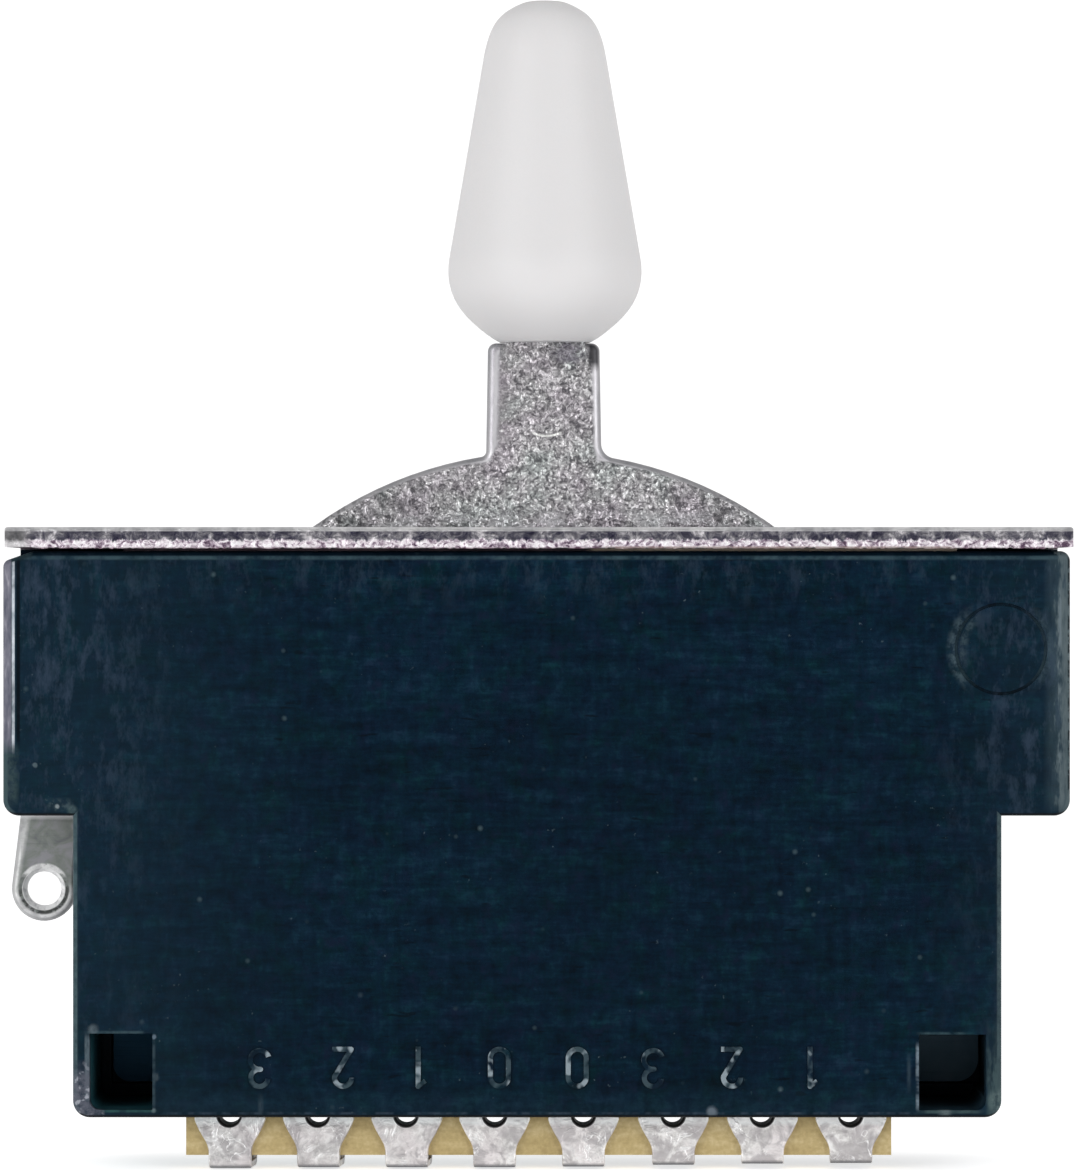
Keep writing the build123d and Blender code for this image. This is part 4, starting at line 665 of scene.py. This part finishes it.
def make_thread(name, cx, turns=1.5, pitch=0.6, z_top=-0.06):
    bm = bmesh.new()
    n = int(64 * turns)
    rings = []
    for i in range(n + 1):
        t = i / n
        a = 2 * math.pi * turns * t
        z = z_top - (1.0 - 2 * 0.06 - 0.30) * t - 0.15
        k = min(1.0, t * n / 10.0, (1 - t) * n / 10.0) * 0.92 + 0.08
        section = [(1.462, 0.19 * k), (1.462 - 0.135 * k, 0.035 * k), (1.462 - 0.135 * k, -0.035 * k), (1.462, -0.19 * k)]
        rings.append([bm.verts.new(((cx + r * math.cos(a)) * MM, r * math.sin(a) * MM, (z + dz) * MM)) for r, dz in section])
    for a_, b_ in zip(rings, rings[1:]):
        for j in range(4):
            bm.faces.new((a_[j], a_[(j + 1) % 4], b_[(j + 1) % 4], b_[j]))
    bm.faces.new(rings[0][::-1])
    bm.faces.new(rings[-1])
    bmesh.ops.recalc_face_normals(bm, faces=bm.faces)
    mesh = bpy.data.meshes.new(name)
    bm.to_mesh(mesh)
    bm.free()
    o = bpy.data.objects.new(name, mesh)
    bpy.context.scene.collection.objects.link(o)
    mesh.materials.append(MATS["thread"])
    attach(o, "base")
    return o




def make_burr():
    """The shear's burr: a ragged lip hanging from the plate's lower front edge."""
    bm = bmesh.new()
    x0, x1, step = -25.6, 26.45, 0.07
    n = int((x1 - x0) / step)
    rows = []
    for i in range(n + 1):
        x = x0 + (x1 - x0) * i / n
        a = noise.noise(Vector((x * 1.3, 4.0, 0.0)))
        b = noise.noise(Vector((x * 5.5, 9.0, 2.0)))
        drop = max(0.012, 0.062 + 0.055 * a + 0.050 * b)
        drop *= min(1.0, (i + 1) / 12.0, (n - i + 1) / 12.0)
        lean = 0.02 + 0.02 * noise.noise(Vector((x * 4.0, 1.0, 7.0)))
        rows.append([bm.verts.new((x * MM, y * MM, z * MM)) for y, z in (
            (-5.246, -0.93), (-5.244, -1.0), (-5.235 + lean, -1.0 - drop), (-5.205 + lean, -1.0 - drop), (-5.10, -0.985))])
    for r0, r1 in zip(rows, rows[1:]):
        for j in range(5):
            bm.faces.new((r0[j], r0[(j + 1) % 5], r1[(j + 1) % 5], r1[j]))
    bm.faces.new(rows[0][::-1])
    bm.faces.new(rows[-1])
    bmesh.ops.recalc_face_normals(bm, faces=bm.faces)
    mesh = bpy.data.meshes.new("shear_burr")
    bm.to_mesh(mesh)
    bm.free()
    o = bpy.data.objects.new("shear_burr", mesh)
    bpy.context.scene.collection.objects.link(o)
    mesh.materials.append(MATS["frame"])
    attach(o, "base")
    return o


make_burr()
make_thread("screw_thread_left", -20.65)
make_thread("screw_thread_right", 20.65)

# ---------------------------------------------------------------- the studio

def make_floor():
    bm = bmesh.new()
    bmesh.ops.create_grid(bm, x_segments=8, y_segments=8, size=3.0)
    mesh = bpy.data.meshes.new("studio_floor")
    bm.to_mesh(mesh)
    bm.free()
    o = bpy.data.objects.new("studio_floor", mesh)
    bpy.context.scene.collection.objects.link(o)
    o.location = (0, 0, cad_lo.z - 0.00006)
    m = Tree("pale_floor")
    soft = m.noise(0.02, 3.0, 0.5)
    seen = m.t.nodes.new("ShaderNodeLightPath").outputs["Is Camera Ray"]
    pale = m.ramp(soft, [(0.3, (0.88, 0.88, 0.885)), (0.7, (0.92, 0.92, 0.92))])
    m.set(Base_Color=m.mix(seen, (0.74, 0.74, 0.74), pale), Roughness=0.9,
          Emission_Strength=m.range(seen, 0.0, 1.0, 0.34, 0.62))
    m.bsdf.inputs["Specular IOR Level"].default_value = 0.0
    m.bsdf.inputs["Emission Color"].default_value = (1.0, 1.0, 1.0, 1.0)
    mesh.materials.append(m.mat)
    return o


make_floor()

# a light tent: white all round, with a dimmer field behind the camera's side
world = bpy.data.worlds.new("tent")
bpy.context.scene.world = world
world.use_nodes = True
wt = world.node_tree
wt.nodes.clear()
wout = wt.nodes.new("ShaderNodeOutputWorld")
wtc = wt.nodes.new("ShaderNodeTexCoord")
wsep = wt.nodes.new("ShaderNodeSeparateXYZ")
wt.links.new(wtc.outputs["Generated"], wsep.inputs[0])


def wmath(op, a, b=None):
    n = wt.nodes.new("ShaderNodeMath")
    n.operation = op
    for i, v in enumerate((a, b)):
        if v is None:
            continue
        if isinstance(v, bpy.types.NodeSocket):
            wt.links.new(v, n.inputs[i])
        else:
            n.inputs[i].default_value = v
    return n.outputs[0]


def wrange(v, a, b, lo, hi):
    n = wt.nodes.new("ShaderNodeMapRange")
    n.interpolation_type = "SMOOTHSTEP"
    wt.links.new(v, n.inputs["Value"])
    for k, val in (("From Min", a), ("From Max", b), ("To Min", lo), ("To Max", hi)):
        n.inputs[k].default_value = val
    return n.outputs[0]


toward = wmath("MULTIPLY", wsep.outputs["Y"], -1.0)
field = wrange(toward, 0.70, 0.94, 0.80, 0.10)
level = wmath("MULTIPLY", field, wrange(wsep.outputs["Z"], 0.25, 1.0, 1.0, 0.62))
bg = wt.nodes.new("ShaderNodeBackground")
wt.links.new(level, bg.inputs["Strength"])
bg.inputs["Color"].default_value = (1.0, 1.0, 1.0, 1.0)
white = wt.nodes.new("ShaderNodeBackground")
white.inputs["Color"].default_value = (1.0, 1.0, 1.0, 1.0)
white.inputs["Strength"].default_value = 1.1
path = wt.nodes.new("ShaderNodeLightPath")
wmix = wt.nodes.new("ShaderNodeMixShader")
wt.links.new(path.outputs["Is Camera Ray"], wmix.inputs[0])
wt.links.new(bg.outputs[0], wmix.inputs[1])
wt.links.new(white.outputs[0], wmix.inputs[2])
wt.links.new(wmix.outputs[0], wout.inputs[0])


def area(name, loc, target, size, power):
    d = bpy.data.lights.new(name, "AREA")
    d.shape = "RECTANGLE"
    d.size, d.size_y = size
    d.energy = power
    o = bpy.data.objects.new(name, d)
    bpy.context.scene.collection.objects.link(o)
    o.location = loc
    o.rotation_euler = (Vector(target) - Vector(loc)).to_track_quat("-Z", "Y").to_euler()
    return o


area("soft_box_left", (-0.31, -0.36, 0.09), (0, 0, 0), (0.30, 0.34), 0.87)
area("soft_box_right", (0.32, -0.36, 0.07), (0, 0, 0), (0.30, 0.34), 0.78)

# ---------------------------------------------------------------- the camera
cam_data = bpy.data.cameras.new("camera")
cam = bpy.data.objects.new("camera", cam_data)
bpy.context.scene.collection.objects.link(cam)
cam.location = (0.05 * MM, -315.0 * MM, -3.025 * MM)
cam.rotation_euler = (math.radians(90), 0, 0)
cam_data.sensor_width = 36.0
cam_data.lens = 6200.0 / 1175.0 * 36.0
cam_data.clip_start = 0.01
cam_data.clip_end = 20.0
bpy.context.scene.camera = cam
bpy.context.scene.view_settings.view_transform = "Standard"
bpy.context.scene.view_settings.look = "None"
